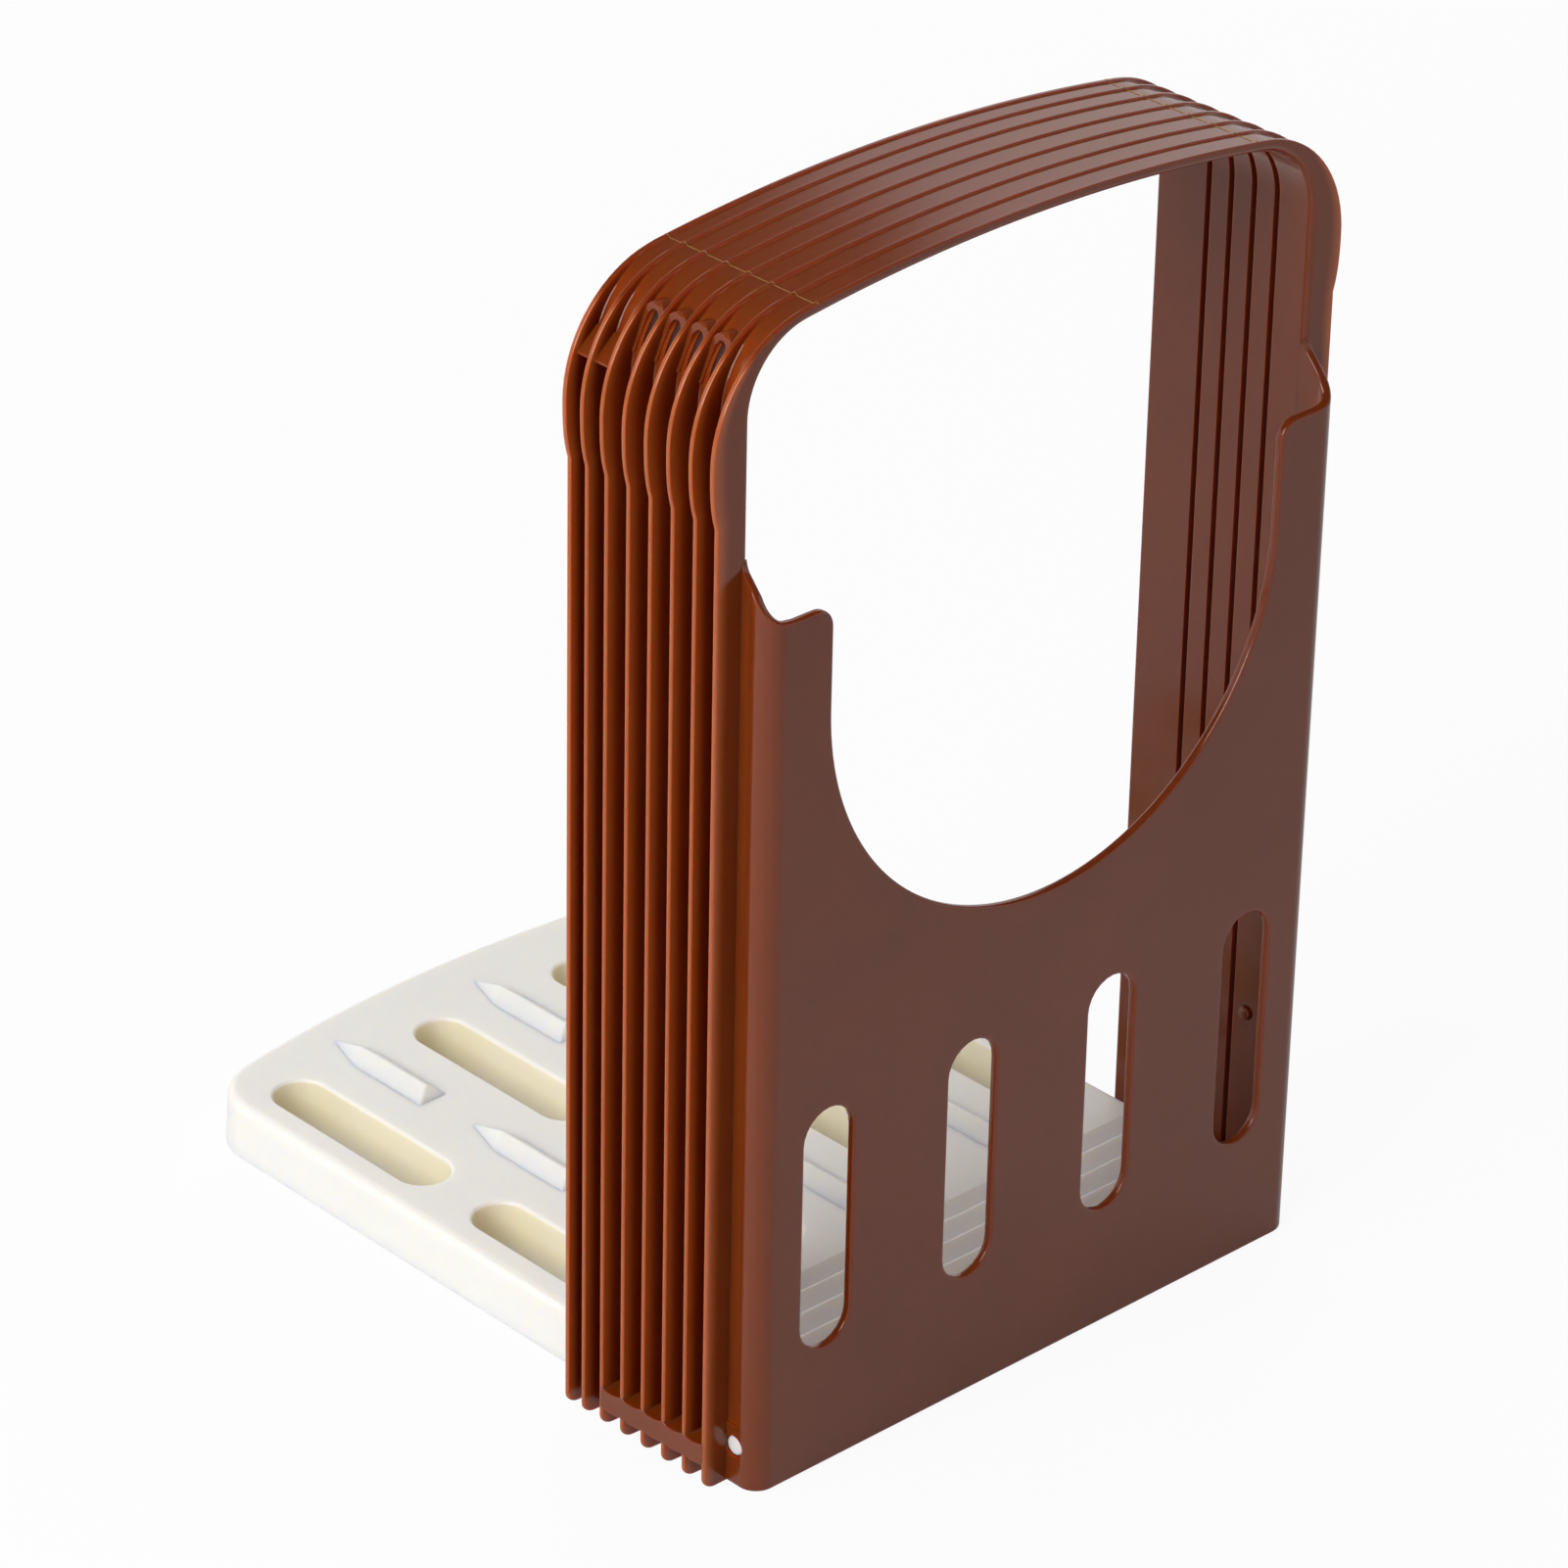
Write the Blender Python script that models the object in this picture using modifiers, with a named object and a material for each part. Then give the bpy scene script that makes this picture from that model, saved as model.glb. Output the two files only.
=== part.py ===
"""Folding bread slicing guide: a finned arch with knife slots and a barbed tray that folds up into it.

Metres, +Z up. X runs across the guide, the loaf lies along Y and the panel faces -Y.
The origin is on the table under the middle of the open guide.
"""
import math

import bmesh
import bpy
from mathutils import Matrix, Vector

# Panel and cheeks
PANEL_THICKNESS = 0.0020
PANEL_CORNER_RADIUS = 0.0043
EAR_TOP = 0.1815
EAR_CORNER_RADIUS = 0.0040
EAR_NOTCH_RADIUS = 0.0025
CHEEK_LIP = 0.0003
CHEEK_SLOPE = 47.5
CHEEK_BLEND_RADIUS = 0.0040
CHEEK_RELIEF = 0.0004
CHEEK_RELIEF_START = 0.0047
CHEEK_RELIEF_SLANT = 0.0010
HAND_CUT_RADIUS = 0.0570
HAND_CUT_CENTRE_HEIGHT = 0.1605
PANEL_SLOTS = 4
PANEL_SLOT_PITCH = 0.0368
PANEL_SLOT_WIDTH = 0.0123
PANEL_SLOT_BOTTOM = 0.0264
PANEL_SLOT_TOP = 0.0780

# Arch
TUNNEL_HALF_WIDTH = 0.0705
TUNNEL_HEIGHT = 0.2374
TUNNEL_CORNER_RADIUS = 0.0155
TUNNEL_CROWN_RADIUS = 0.4090
WALL_THICKNESS = 0.0020
CROWN_THICKNESS = 0.0019
FRONT_RIM_STEPS = 3

# Fins
FIN_THICKNESS = 0.0011
FIN_DEPTH = 0.0054
FIN_CROWN_RISE = 0.0004
FIN_BULGE = 0.0012
FIN_BULGE_DROP = 0.0377
FIN_CORNER_RADIUS = 0.0250
FIN_FOOT_RADIUS = 0.0023
FRONT_FIN_SETBACK = 0.0086
FRONT_FIN_STEP = 0.0055
SLICE_STEP = 0.0058
KNIFE_SLOTS = 4
REAR_FIN_STEPS = (0.0052, 0.0046)

# Knife slots and the hoods round their upper ends; drops are measured from the top of the loaf space
KNIFE_SLOT_WIDTH = 0.0014
KNIFE_SLOT_BOTTOM = 0.0099
KNIFE_SLOT_DROP = 0.0074
HOOD_MOUTH = 0.0038
HOOD_RIM = 0.0013
HOOD_LENGTH = 0.0090

# Cross bars, gussets, pivot pads and snap nubs
BAR_FRONT_TOP = 0.0098
BAR_HEIGHT = 0.0044
BAR_TILT = 2.6
BAR_INSET = 0.0001
GUSSET_DROP = 0.0178
GUSSET_RISE = 0.0044
GUSSET_INSET = 0.0014
GUSSET_EDGE = 0.0004
PAD_HEIGHT = 0.0133
NUB_SETBACK = 0.0129
NUB_HEIGHT = 0.0443
NUB_RADIUS = 0.0016
NUB_RISE = 0.0012

# Pivot
PIVOT_SETBACK = 0.0060
PIVOT_HEIGHT = 0.0086
PIN_RADIUS = 0.0020
PIN_CLEARANCE = 0.0003
PIN_RECESS = 0.0003
PIN_CHAMFER = 0.0004
PIN_COLLAR_RADIUS = 0.0031
PIN_COLLAR_GAP = 0.0009

# Tray
TRAY_REACH = 0.1763
TRAY_SIDE_GAP = 0.0023
TRAY_TOP = 0.0120
TRAY_CORNER_RADIUS = 0.0135
TRAY_END_RADIUS = 0.2950
TRAY_EDGE_RADIUS = 0.0020
TRAY_DRAFT = 0.0005
TRAY_PLATE = 0.0024
TRAY_SKIRT = 0.0020
TRAY_FLOOR_GAP = 0.0003
NOSE_CLEARANCE = 0.0004
TRAY_SLOT_COLUMNS = 4
TRAY_SLOT_PITCH = 0.0375
TRAY_SLOT_WIDTH = 0.0114
TRAY_SLOT_LENGTH = 0.0495
TRAY_SLOT_ENDS = (0.1590, 0.0970)
TRAY_SLOT_WALL = 0.0016
GROOVE_DEPTH = 0.0012
GROOVE_STEEP_WALL = 0.0014
GROOVE_LONG_WALL = 0.0037
GROOVE_CREST_DROP = 0.00015
BARB_COLUMNS = 3
BARB_TIPS = (0.1660, 0.1224, 0.0788)
BARB_LENGTH = 0.0318
BARB_WIDTH = 0.0071
BARB_HEIGHT = 0.0026
BARB_POINT = 0.0090
BARB_CREST_POINT = 0.0070
BARB_HEEL = 0.0022

# How finely round stretches are drawn, and how far cutters pass what they cut
CORNER_STEPS = 9
CROWN_STEPS = 8
SMALL_STEPS = 5
ROUND_STEPS = 28
OVERCUT = 0.0050
SEAT = 0.0005
WELD = 0.000001

# Worked out from the sizes above
FRONT = -(TRAY_REACH + TRAY_DRAFT) / 2
OUTER_HALF_WIDTH = TUNNEL_HALF_WIDTH + WALL_THICKNESS
FIN_HALF_WIDTH = OUTER_HALF_WIDTH + FIN_DEPTH
ARCH_TOP = TUNNEL_HEIGHT + CROWN_THICKNESS + FIN_CROWN_RISE
FIN_BULGE_START = TUNNEL_HEIGHT - FIN_BULGE_DROP
KNIFE_SLOT_TOP = TUNNEL_HEIGHT - KNIFE_SLOT_DROP
GUSSET_HEIGHT = TUNNEL_HEIGHT - GUSSET_DROP
PIVOT = Vector((0, FRONT + PIVOT_SETBACK, PIVOT_HEIGHT))
TRAY_HALF_WIDTH = TUNNEL_HALF_WIDTH - TRAY_SIDE_GAP

# A plan stays as drawn; a front view faces +-Y and a side view faces +-X
QUARTER_TURNS = {
    'XY': Matrix.Identity(4),
    'XZ': Matrix(((1, 0, 0, 0), (0, 0, 1, 0), (0, 1, 0, 0), (0, 0, 0, 1))),
    'YZ': Matrix(((0, 0, 1, 0), (1, 0, 0, 0), (0, 1, 0, 0), (0, 0, 0, 1))),
}


def fin_planes():
    """Y of each fin's middle plane, from the panel to the back."""
    steps = [FRONT_FIN_STEP] + [SLICE_STEP] * KNIFE_SLOTS + list(REAR_FIN_STEPS)
    planes = [FRONT + FRONT_FIN_SETBACK]
    for step in steps:
        planes.append(planes[-1] + step)
    return planes


def knife_planes():
    """Y of each knife slot, in the middle of the gap between two fins."""
    planes = fin_planes()
    return [(planes[i] + planes[i + 1]) / 2 for i in range(1, 1 + KNIFE_SLOTS)]


def arc(centre, radius, start, end, steps):
    """Points along a circular arc, with its angles in degrees."""
    points = []
    for i in range(steps + 1):
        angle = math.radians(start + (end - start) * i / steps)
        points.append((centre[0] + radius * math.cos(angle), centre[1] + radius * math.sin(angle)))
    return points


def mirrored(right_half):
    """A whole outline from its right half, which runs anticlockwise; it may end on the centre line."""
    return right_half + [(-u, v) for u, v in reversed(right_half) if u > 0]


def crowned_half(half_width, corner_radius, crown_height, crown_radius):
    """Right half of a crowned arch: a corner arc, then the crown arc that it flows into."""
    crown_centre = crown_height - crown_radius
    corner_u = half_width - corner_radius
    corner_v = crown_centre + math.sqrt((crown_radius - corner_radius) ** 2 - corner_u ** 2)
    meet = math.degrees(math.atan2(corner_v - crown_centre, corner_u))
    corner = arc((corner_u, corner_v), corner_radius, 0, meet, CORNER_STEPS)
    crown = arc((0, crown_centre), crown_radius, meet, 90, CROWN_STEPS)
    crown[-1] = (0, crown_height)
    return corner + crown[1:]


def tunnel_half(growth=0.0):
    """Edge of the loaf space, or the same edge further out by a distance."""
    return crowned_half(TUNNEL_HALF_WIDTH + growth, TUNNEL_CORNER_RADIUS + growth,
                        TUNNEL_HEIGHT + growth, TUNNEL_CROWN_RADIUS + growth)


def fin_half():
    """Outer edge of a fin: rounded foot, straight side, shoulder bulge, corner and crown."""
    top = crowned_half(FIN_HALF_WIDTH + FIN_BULGE, FIN_CORNER_RADIUS, ARCH_TOP,
                       TUNNEL_CROWN_RADIUS + CROWN_THICKNESS + FIN_CROWN_RISE)
    foot = arc((FIN_HALF_WIDTH - FIN_FOOT_RADIUS, FIN_FOOT_RADIUS), FIN_FOOT_RADIUS, -90, 0, SMALL_STEPS)
    bulge = []
    for i in range(SMALL_STEPS):
        share = i / SMALL_STEPS
        bulge.append((FIN_HALF_WIDTH + FIN_BULGE * (1 - (1 - share) ** 3),
                      FIN_BULGE_START + (top[0][1] - FIN_BULGE_START) * share))
    return foot + bulge + top


def web_half():
    """Outside of the wall between the fins, with one point for every point of a fin's edge."""
    growth = (WALL_THICKNESS + CROWN_THICKNESS) / 2
    top = crowned_half(OUTER_HALF_WIDTH, TUNNEL_CORNER_RADIUS + growth,
                       TUNNEL_HEIGHT + CROWN_THICKNESS, TUNNEL_CROWN_RADIUS + CROWN_THICKNESS)
    fin = fin_half()
    side = len(fin) - len(top)
    stretch = top[0][1] / fin[side][1]
    return [(OUTER_HALF_WIDTH, v * stretch) for u, v in fin[:side]] + top


def arch_ring(outer_half, growth=0.0):
    """Front view of the arch: the wall's foot and an outer edge, then the loaf space that they go round."""
    outside = [(OUTER_HALF_WIDTH, 0)] + outer_half
    loaf_space = [(TUNNEL_HALF_WIDTH + growth, 0)] + tunnel_half(growth)
    return mirrored(outside) + list(reversed(mirrored(loaf_space)))


def wrapped(right_half):
    """Path from the back on the right, along the front and to the back on the left."""
    return list(reversed(right_half)) + [(-u, v) for u, v in right_half]


def obround(centre, width, low, high):
    """Upright slot outline with round ends, anticlockwise from its lower right."""
    radius = width / 2
    lower = arc((centre, low + radius), radius, 180, 360, 2 * SMALL_STEPS)
    upper = arc((centre, high - radius), radius, 0, 180, 2 * SMALL_STEPS)
    return lower + upper


def collection(name, hidden=False):
    made = bpy.data.collections.new(name)
    bpy.context.scene.collection.children.link(made)
    made.hide_render = hidden
    return made


def as_cutter(thing):
    """Show a construction shape as a wire that doesn't render."""
    thing.display_type = 'WIRE'
    thing.hide_render = True
    return thing


def plate(name, group, outline, near, far, plane):
    """Solid with a flat outline, between two positions along the axis square to its plane."""
    curve = bpy.data.curves.new(name, 'CURVE')
    curve.dimensions = '2D'
    curve.fill_mode = 'BOTH'
    curve.extrude = (far - near) / 2
    spline = curve.splines.new('POLY')
    spline.points.add(len(outline) - 1)
    for point, (u, v) in zip(spline.points, outline):
        point.co = (u, v, 0, 1)
    spline.use_cyclic_u = True
    drawn = bpy.data.objects.new(name, curve)
    group.objects.link(drawn)
    return as_mesh(drawn, group, QUARTER_TURNS[plane] @ Matrix.Translation((0, 0, (far + near) / 2)))


def as_mesh(drawn, group, placing):
    """Turn a curve object into a closed mesh object. Its exact quarter turn keeps level faces level."""
    bpy.context.view_layer.update()
    evaluated = drawn.evaluated_get(bpy.context.evaluated_depsgraph_get())
    mesh = bpy.data.meshes.new_from_object(evaluated)
    name = drawn.name
    curve = drawn.data
    bpy.data.objects.remove(drawn)
    bpy.data.curves.remove(curve)
    shape = bmesh.new()
    shape.from_mesh(mesh)
    bmesh.ops.remove_doubles(shape, verts=shape.verts, dist=WELD)
    bmesh.ops.transform(shape, matrix=placing, verts=shape.verts)
    bmesh.ops.recalc_face_normals(shape, faces=shape.faces)
    shape.to_mesh(mesh)
    shape.free()
    mesh.name = name
    made = bpy.data.objects.new(name, mesh)
    group.objects.link(made)
    return made


def from_bmesh(name, group, shape):
    mesh = bpy.data.meshes.new(name)
    bmesh.ops.recalc_face_normals(shape, faces=shape.faces)
    shape.to_mesh(mesh)
    shape.free()
    made = bpy.data.objects.new(name, mesh)
    group.objects.link(made)
    return made


def loft(name, group, rings, plane):
    """Solid through outlines of equal length, each given with its position square to the plane."""
    shape = bmesh.new()
    loops = [[shape.verts.new((u, v, along)) for u, v in outline] for outline, along in rings]
    for lower, upper in zip(loops, loops[1:]):
        for i in range(len(lower)):
            shape.faces.new((lower[i - 1], lower[i], upper[i], upper[i - 1]))
    shape.faces.new(loops[0])
    shape.faces.new(loops[-1])
    bmesh.ops.remove_doubles(shape, verts=shape.verts, dist=WELD)
    bmesh.ops.transform(shape, matrix=QUARTER_TURNS[plane], verts=shape.verts)
    return from_bmesh(name, group, shape)


def hull(name, group, points):
    """Smallest convex solid round some corners."""
    shape = bmesh.new()
    for point in points:
        shape.verts.new(point)
    result = bmesh.ops.convex_hull(shape, input=shape.verts)
    inside = [part for part in result['geom_interior'] if isinstance(part, bmesh.types.BMVert)]
    bmesh.ops.delete(shape, geom=inside, context='VERTS')
    return from_bmesh(name, group, shape)


def turned_across(name, group, profile):
    """Turned shape on the pivot's line: profile lists (distance along X, radius) from the far end."""
    mesh = bpy.data.meshes.new(name)
    shape = bmesh.new()
    verts = [shape.verts.new((radius, 0, along)) for along, radius in profile]
    for i in range(len(verts) - 1):
        shape.edges.new((verts[i], verts[i + 1]))
    shape.to_mesh(mesh)
    shape.free()
    made = bpy.data.objects.new(name, mesh)
    group.objects.link(made)
    made.location = PIVOT
    made.rotation_euler = (0, math.radians(90), 0)
    screw = made.modifiers.new('turn', 'SCREW')
    screw.axis = 'Z'
    screw.steps = ROUND_STEPS
    screw.render_steps = ROUND_STEPS
    screw.use_merge_vertices = True
    screw.merge_threshold = 10 * WELD
    return made


def combine(target, tool, operation):
    """Join, cut or keep the common part of two solids with a Boolean modifier."""
    modifier = target.modifiers.new(tool.name, 'BOOLEAN')
    modifier.operation = operation
    modifier.solver = 'EXACT'
    modifier.object = as_cutter(tool)


def plastic(name, colour, roughness):
    material = bpy.data.materials.new(name)
    material.use_nodes = True
    shader = material.node_tree.nodes['Principled BSDF']
    shader.inputs['Base Color'].default_value = (*colour, 1)
    shader.inputs['Roughness'].default_value = roughness
    shader.inputs['Metallic'].default_value = 0.0
    material.diffuse_color = (*colour, 1)
    return material


def front_block(parts, cutters):
    """Panel and cheeks in one: a wall with two round corners and a sloping top at the cheeks."""
    end = fin_planes()[0] + FIN_THICKNESS
    top = EAR_TOP + OVERCUT + FRONT_FIN_SETBACK * math.tan(math.radians(CHEEK_SLOPE))
    outer = arc((OUTER_HALF_WIDTH - PANEL_CORNER_RADIUS, FRONT + PANEL_CORNER_RADIUS),
                PANEL_CORNER_RADIUS, -90, 0, CORNER_STEPS)
    outer.append((OUTER_HALF_WIDTH, end))
    radius = PANEL_CORNER_RADIUS - PANEL_THICKNESS
    inner = arc((TUNNEL_HALF_WIDTH - radius, FRONT + PANEL_THICKNESS + radius), radius, -90, 0, SMALL_STEPS)
    inner.append((TUNNEL_HALF_WIDTH, end))
    plan = wrapped(outer) + list(reversed(wrapped(inner)))
    body = plate('slicing_frame', parts, plan, 0, top, 'XY')
    combine(body, cheek_profile(cutters), 'INTERSECT')
    for side in (-1, 1):
        combine(body, cheek_relief(cutters, side, end), 'DIFFERENCE')
    return body


def cheek_relief(cutters, side, end):
    """Shallow relief outside a cheek, which leaves a pad round the pivot level with the corner."""
    start = FRONT + CHEEK_RELIEF_START
    half = [(OUTER_HALF_WIDTH + CHEEK_RELIEF, start - CHEEK_RELIEF_SLANT),
            (OUTER_HALF_WIDTH + CHEEK_RELIEF, end + OVERCUT),
            (OUTER_HALF_WIDTH - CHEEK_RELIEF, end + OVERCUT),
            (OUTER_HALF_WIDTH - CHEEK_RELIEF, start + CHEEK_RELIEF_SLANT)]
    outline = [(side * u, v) for u, v in half]
    return plate('cheek_relief_right' if side > 0 else 'cheek_relief_left', cutters, outline,
                 PAD_HEIGHT, TUNNEL_HEIGHT, 'XY')


def cheek_profile(cutters):
    """Side view that the panel and cheeks keep: the slope up to the front fin and its blend."""
    face = fin_planes()[0] - FIN_THICKNESS / 2
    slope = math.radians(CHEEK_SLOPE)
    start = EAR_TOP + CHEEK_LIP
    corner_height = start + (face - FRONT) * math.tan(slope)
    turn = math.radians(90) - slope
    reach = CHEEK_BLEND_RADIUS * math.tan(turn / 2)
    centre = (face - CHEEK_BLEND_RADIUS, corner_height + reach)
    blend = arc(centre, CHEEK_BLEND_RADIUS, CHEEK_SLOPE - 90, 0, SMALL_STEPS)
    low = -OVERCUT
    far = face + 2 * FIN_THICKNESS
    outline = [(FRONT - OVERCUT, low), (far, low), (far, blend[-1][1])]
    outline += reversed(blend)
    outline.append((FRONT - OVERCUT, start - OVERCUT * math.tan(slope)))
    side = OUTER_HALF_WIDTH + OVERCUT
    return plate('cheek_profile', cutters, outline, -side, side, 'YZ')


def finned_arch(cutters):
    """The arch with all its fins: the outer edge steps between fin and wall at every fin face.

    The front rim of the loaf space is rounded over the thickness of the first fin.
    """
    fin = arch_ring(fin_half())
    web = arch_ring(web_half())
    rings = []
    for middle in fin_planes():
        near, far = middle - FIN_THICKNESS / 2, middle + FIN_THICKNESS / 2
        rings += [(web, near), (fin, near), (fin, far), (web, far)]
    front = rings[1][1]
    rim = []
    for u, v in arc((0, 0), FIN_THICKNESS, 0, 90, FRONT_RIM_STEPS)[:-1]:
        rim.append((arch_ring(fin_half(), FIN_THICKNESS - v), front + FIN_THICKNESS - u))
    return loft('finned_arch', cutters, rim + rings[2:-1], 'XZ')


def hand_cut(cutters):
    """U-shaped cut in the panel, widening over the ears up to the cheeks."""
    radius = HAND_CUT_RADIUS
    notch = OUTER_HALF_WIDTH - PANEL_CORNER_RADIUS + EAR_NOTCH_RADIUS / 4
    u_bottom = arc((0, HAND_CUT_CENTRE_HEIGHT), radius, -90, 0, 2 * CORNER_STEPS)
    ear = arc((radius + EAR_CORNER_RADIUS, EAR_TOP - EAR_CORNER_RADIUS), EAR_CORNER_RADIUS,
              180, 90, SMALL_STEPS)
    corner = arc((notch - EAR_NOTCH_RADIUS, EAR_TOP + EAR_NOTCH_RADIUS), EAR_NOTCH_RADIUS,
                 -90, 0, SMALL_STEPS)
    top = ARCH_TOP + OVERCUT
    right = u_bottom[1:] + ear + corner + [(notch, top)]
    outline = [u_bottom[0]] + right + [(-u, v) for u, v in reversed(right)]
    depth = max(PANEL_THICKNESS, PANEL_CORNER_RADIUS)
    return plate('hand_cut', cutters, outline, FRONT - OVERCUT, FRONT + depth, 'XZ')


def panel_slot(cutters, number):
    centre = (number - (PANEL_SLOTS - 1) / 2) * PANEL_SLOT_PITCH
    outline = obround(centre, PANEL_SLOT_WIDTH, PANEL_SLOT_BOTTOM, PANEL_SLOT_TOP)
    return plate(f'panel_slot_{number + 1}', cutters, outline, FRONT - OVERCUT,
                 FRONT + PANEL_THICKNESS + OVERCUT, 'XZ')


def knife_slot(cutters, number, middle):
    outline = obround(middle, KNIFE_SLOT_WIDTH, KNIFE_SLOT_BOTTOM, KNIFE_SLOT_TOP)
    side = FIN_HALF_WIDTH + OVERCUT
    return plate(f'knife_slot_{number}', cutters, outline, -side, side, 'YZ')


def wall_middle(height):
    """How far out the middle of the wall is at a height: straight up to the shoulder, then round."""
    corner_u = TUNNEL_HALF_WIDTH - TUNNEL_CORNER_RADIUS
    corner_v = tunnel_half()[0][1]
    radius = TUNNEL_CORNER_RADIUS + (WALL_THICKNESS + CROWN_THICKNESS) / 4
    return corner_u + math.sqrt(radius ** 2 - max(0, height - corner_v) ** 2)


def slot_hood(cutters, number, middle, side):
    """Raised rim between two fins, with a pocket that narrows to the upper end of a knife slot."""
    top = KNIFE_SLOT_TOP + HOOD_RIM
    low = top - HOOD_LENGTH
    corner_u = FIN_HALF_WIDTH + FIN_BULGE - FIN_CORNER_RADIUS
    corner_v = [v for u, v in fin_half() if u >= FIN_HALF_WIDTH + FIN_BULGE - WELD][0]
    lip_height = top - HOOD_RIM / 2
    lip = corner_u + math.sqrt(FIN_CORNER_RADIUS ** 2 - (lip_height - corner_v) ** 2) - HOOD_RIM / 4
    wall = [(wall_middle(low + (top - low) * i / SMALL_STEPS), low + (top - low) * i / SMALL_STEPS)
            for i in range(SMALL_STEPS, -1, -1)]
    half = [(OUTER_HALF_WIDTH, low), (lip, lip_height), (lip - HOOD_RIM / 2, top)] + wall
    outline = [(side * u, v) for u, v in half]
    name = f'slot_hood_{number}_{"right" if side > 0 else "left"}'
    hood = plate(name, cutters, outline, middle - SLICE_STEP, middle + SLICE_STEP, 'XZ')
    view = obround(middle, SLICE_STEP, low - SLICE_STEP, top)
    reach = FIN_HALF_WIDTH + OVERCUT
    combine(hood, plate(f'{name}_view', cutters, view, -reach, reach, 'YZ'), 'INTERSECT')
    narrow = obround(middle, KNIFE_SLOT_WIDTH / 2, low - SLICE_STEP, KNIFE_SLOT_TOP)
    wide = obround(middle, HOOD_MOUTH, low - SLICE_STEP, KNIFE_SLOT_TOP)
    rings = [(narrow, side * (wall_middle(top) - OVERCUT)), (wide, side * (lip + OVERCUT))]
    combine(hood, loft(f'{name}_pocket', cutters, rings, 'YZ'), 'DIFFERENCE')
    return hood


def cross_bar(cutters, side):
    """Bar low on the side that ties the fins together beside the knife slots."""
    planes = fin_planes()
    near, far = planes[0], planes[1 + KNIFE_SLOTS]
    size = (WALL_THICKNESS / 2 + FIN_DEPTH - BAR_INSET, far - near, BAR_HEIGHT)
    shape = bmesh.new()
    bmesh.ops.create_cube(shape, size=1, matrix=Matrix.Diagonal((*size, 1)))
    bar = from_bmesh('cross_bar_right' if side > 0 else 'cross_bar_left', cutters, shape)
    drop = (far - near) / 2 * math.tan(math.radians(BAR_TILT))
    bar.location = (side * (FIN_HALF_WIDTH - BAR_INSET - size[0] / 2), (near + far) / 2,
                    BAR_FRONT_TOP - BAR_HEIGHT / 2 - drop)
    bar.rotation_euler = (math.radians(-BAR_TILT), 0, 0)
    return bar


def gusset(cutters, side):
    """Small sloping web that ties the three rear fins at the shoulder."""
    planes = fin_planes()
    inner = OUTER_HALF_WIDTH - WALL_THICKNESS / 2
    outer = FIN_HALF_WIDTH - GUSSET_INSET
    half = [(inner, GUSSET_HEIGHT), (outer, GUSSET_HEIGHT), (outer, GUSSET_HEIGHT + GUSSET_EDGE),
            (inner, GUSSET_HEIGHT + GUSSET_RISE)]
    outline = [(side * u, v) for u, v in half]
    return plate('gusset_right' if side > 0 else 'gusset_left', cutters, outline,
                 planes[1 + KNIFE_SLOTS], planes[-1], 'XZ')


def pivot_holes(cutters):
    """One turned cutter for both holes."""
    radius = PIN_RADIUS + PIN_CLEARANCE
    end = OUTER_HALF_WIDTH + OVERCUT
    return turned_across('pivot_holes', cutters, [(end, 0), (end, radius), (-end, radius), (-end, 0)])


def snap_nub(cutters, side):
    """Low round nub inside the wall that holds the folded tray."""
    shape = bmesh.new()
    bmesh.ops.create_uvsphere(shape, u_segments=16, v_segments=8, radius=1,
                              matrix=Matrix.Diagonal((NUB_RISE, NUB_RADIUS, NUB_RADIUS, 1)))
    nub = from_bmesh('snap_nub_right' if side > 0 else 'snap_nub_left', cutters, shape)
    nub.location = (side * TUNNEL_HALF_WIDTH, FRONT + NUB_SETBACK, NUB_HEIGHT)
    return nub


def slicing_frame(parts, cutters):
    body = front_block(parts, cutters)
    combine(body, hand_cut(cutters), 'DIFFERENCE')
    for number in range(PANEL_SLOTS):
        combine(body, panel_slot(cutters, number), 'DIFFERENCE')
    combine(body, finned_arch(cutters), 'UNION')
    for side in (-1, 1):
        combine(body, cross_bar(cutters, side), 'UNION')
        combine(body, gusset(cutters, side), 'UNION')
        combine(body, snap_nub(cutters, side), 'UNION')
        for number, middle in enumerate(knife_planes(), 1):
            combine(body, slot_hood(cutters, number, middle, side), 'UNION')
    for number, middle in enumerate(knife_planes(), 1):
        combine(body, knife_slot(cutters, number, middle), 'DIFFERENCE')
    combine(body, pivot_holes(cutters), 'DIFFERENCE')
    body.data.materials.append(plastic('brown_plastic', (0.17, 0.045, 0.018), 0.22))
    return body


def tray_outline(growth, near):
    """Plan of the tray grown by a distance, with its straight edge at the panel end."""
    half = crowned_half(TRAY_HALF_WIDTH + growth, TRAY_CORNER_RADIUS + growth,
                        FRONT + TRAY_REACH + growth, TRAY_END_RADIUS + growth)
    return mirrored([(TRAY_HALF_WIDTH + growth, near)] + half)


def tray_body(parts):
    """Outside of the tray: drafted sides and a soft top edge."""
    near = FRONT + PANEL_THICKNESS
    rings = [(tray_outline(TRAY_DRAFT, near), 0)]
    straight = TRAY_TOP - TRAY_EDGE_RADIUS
    for u, v in arc((-TRAY_EDGE_RADIUS, straight), TRAY_EDGE_RADIUS, 0, 90, SMALL_STEPS):
        rings.append((tray_outline(u, near), v))
    return loft('bread_tray', parts, rings, 'XY')


def tray_cavity(cutters):
    """Hollow underneath, which leaves the plate and the skirt."""
    near = PIVOT.y - nose_reach() + TRAY_SKIRT
    outline = tray_outline(-TRAY_SKIRT, near)
    return plate('tray_cavity', cutters, outline, -OVERCUT, TRAY_TOP - TRAY_PLATE, 'XY')


def nose_reach():
    """How far the nose reaches from the pivot towards the panel."""
    return PIVOT_SETBACK - PANEL_THICKNESS - NOSE_CLEARANCE


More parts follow.
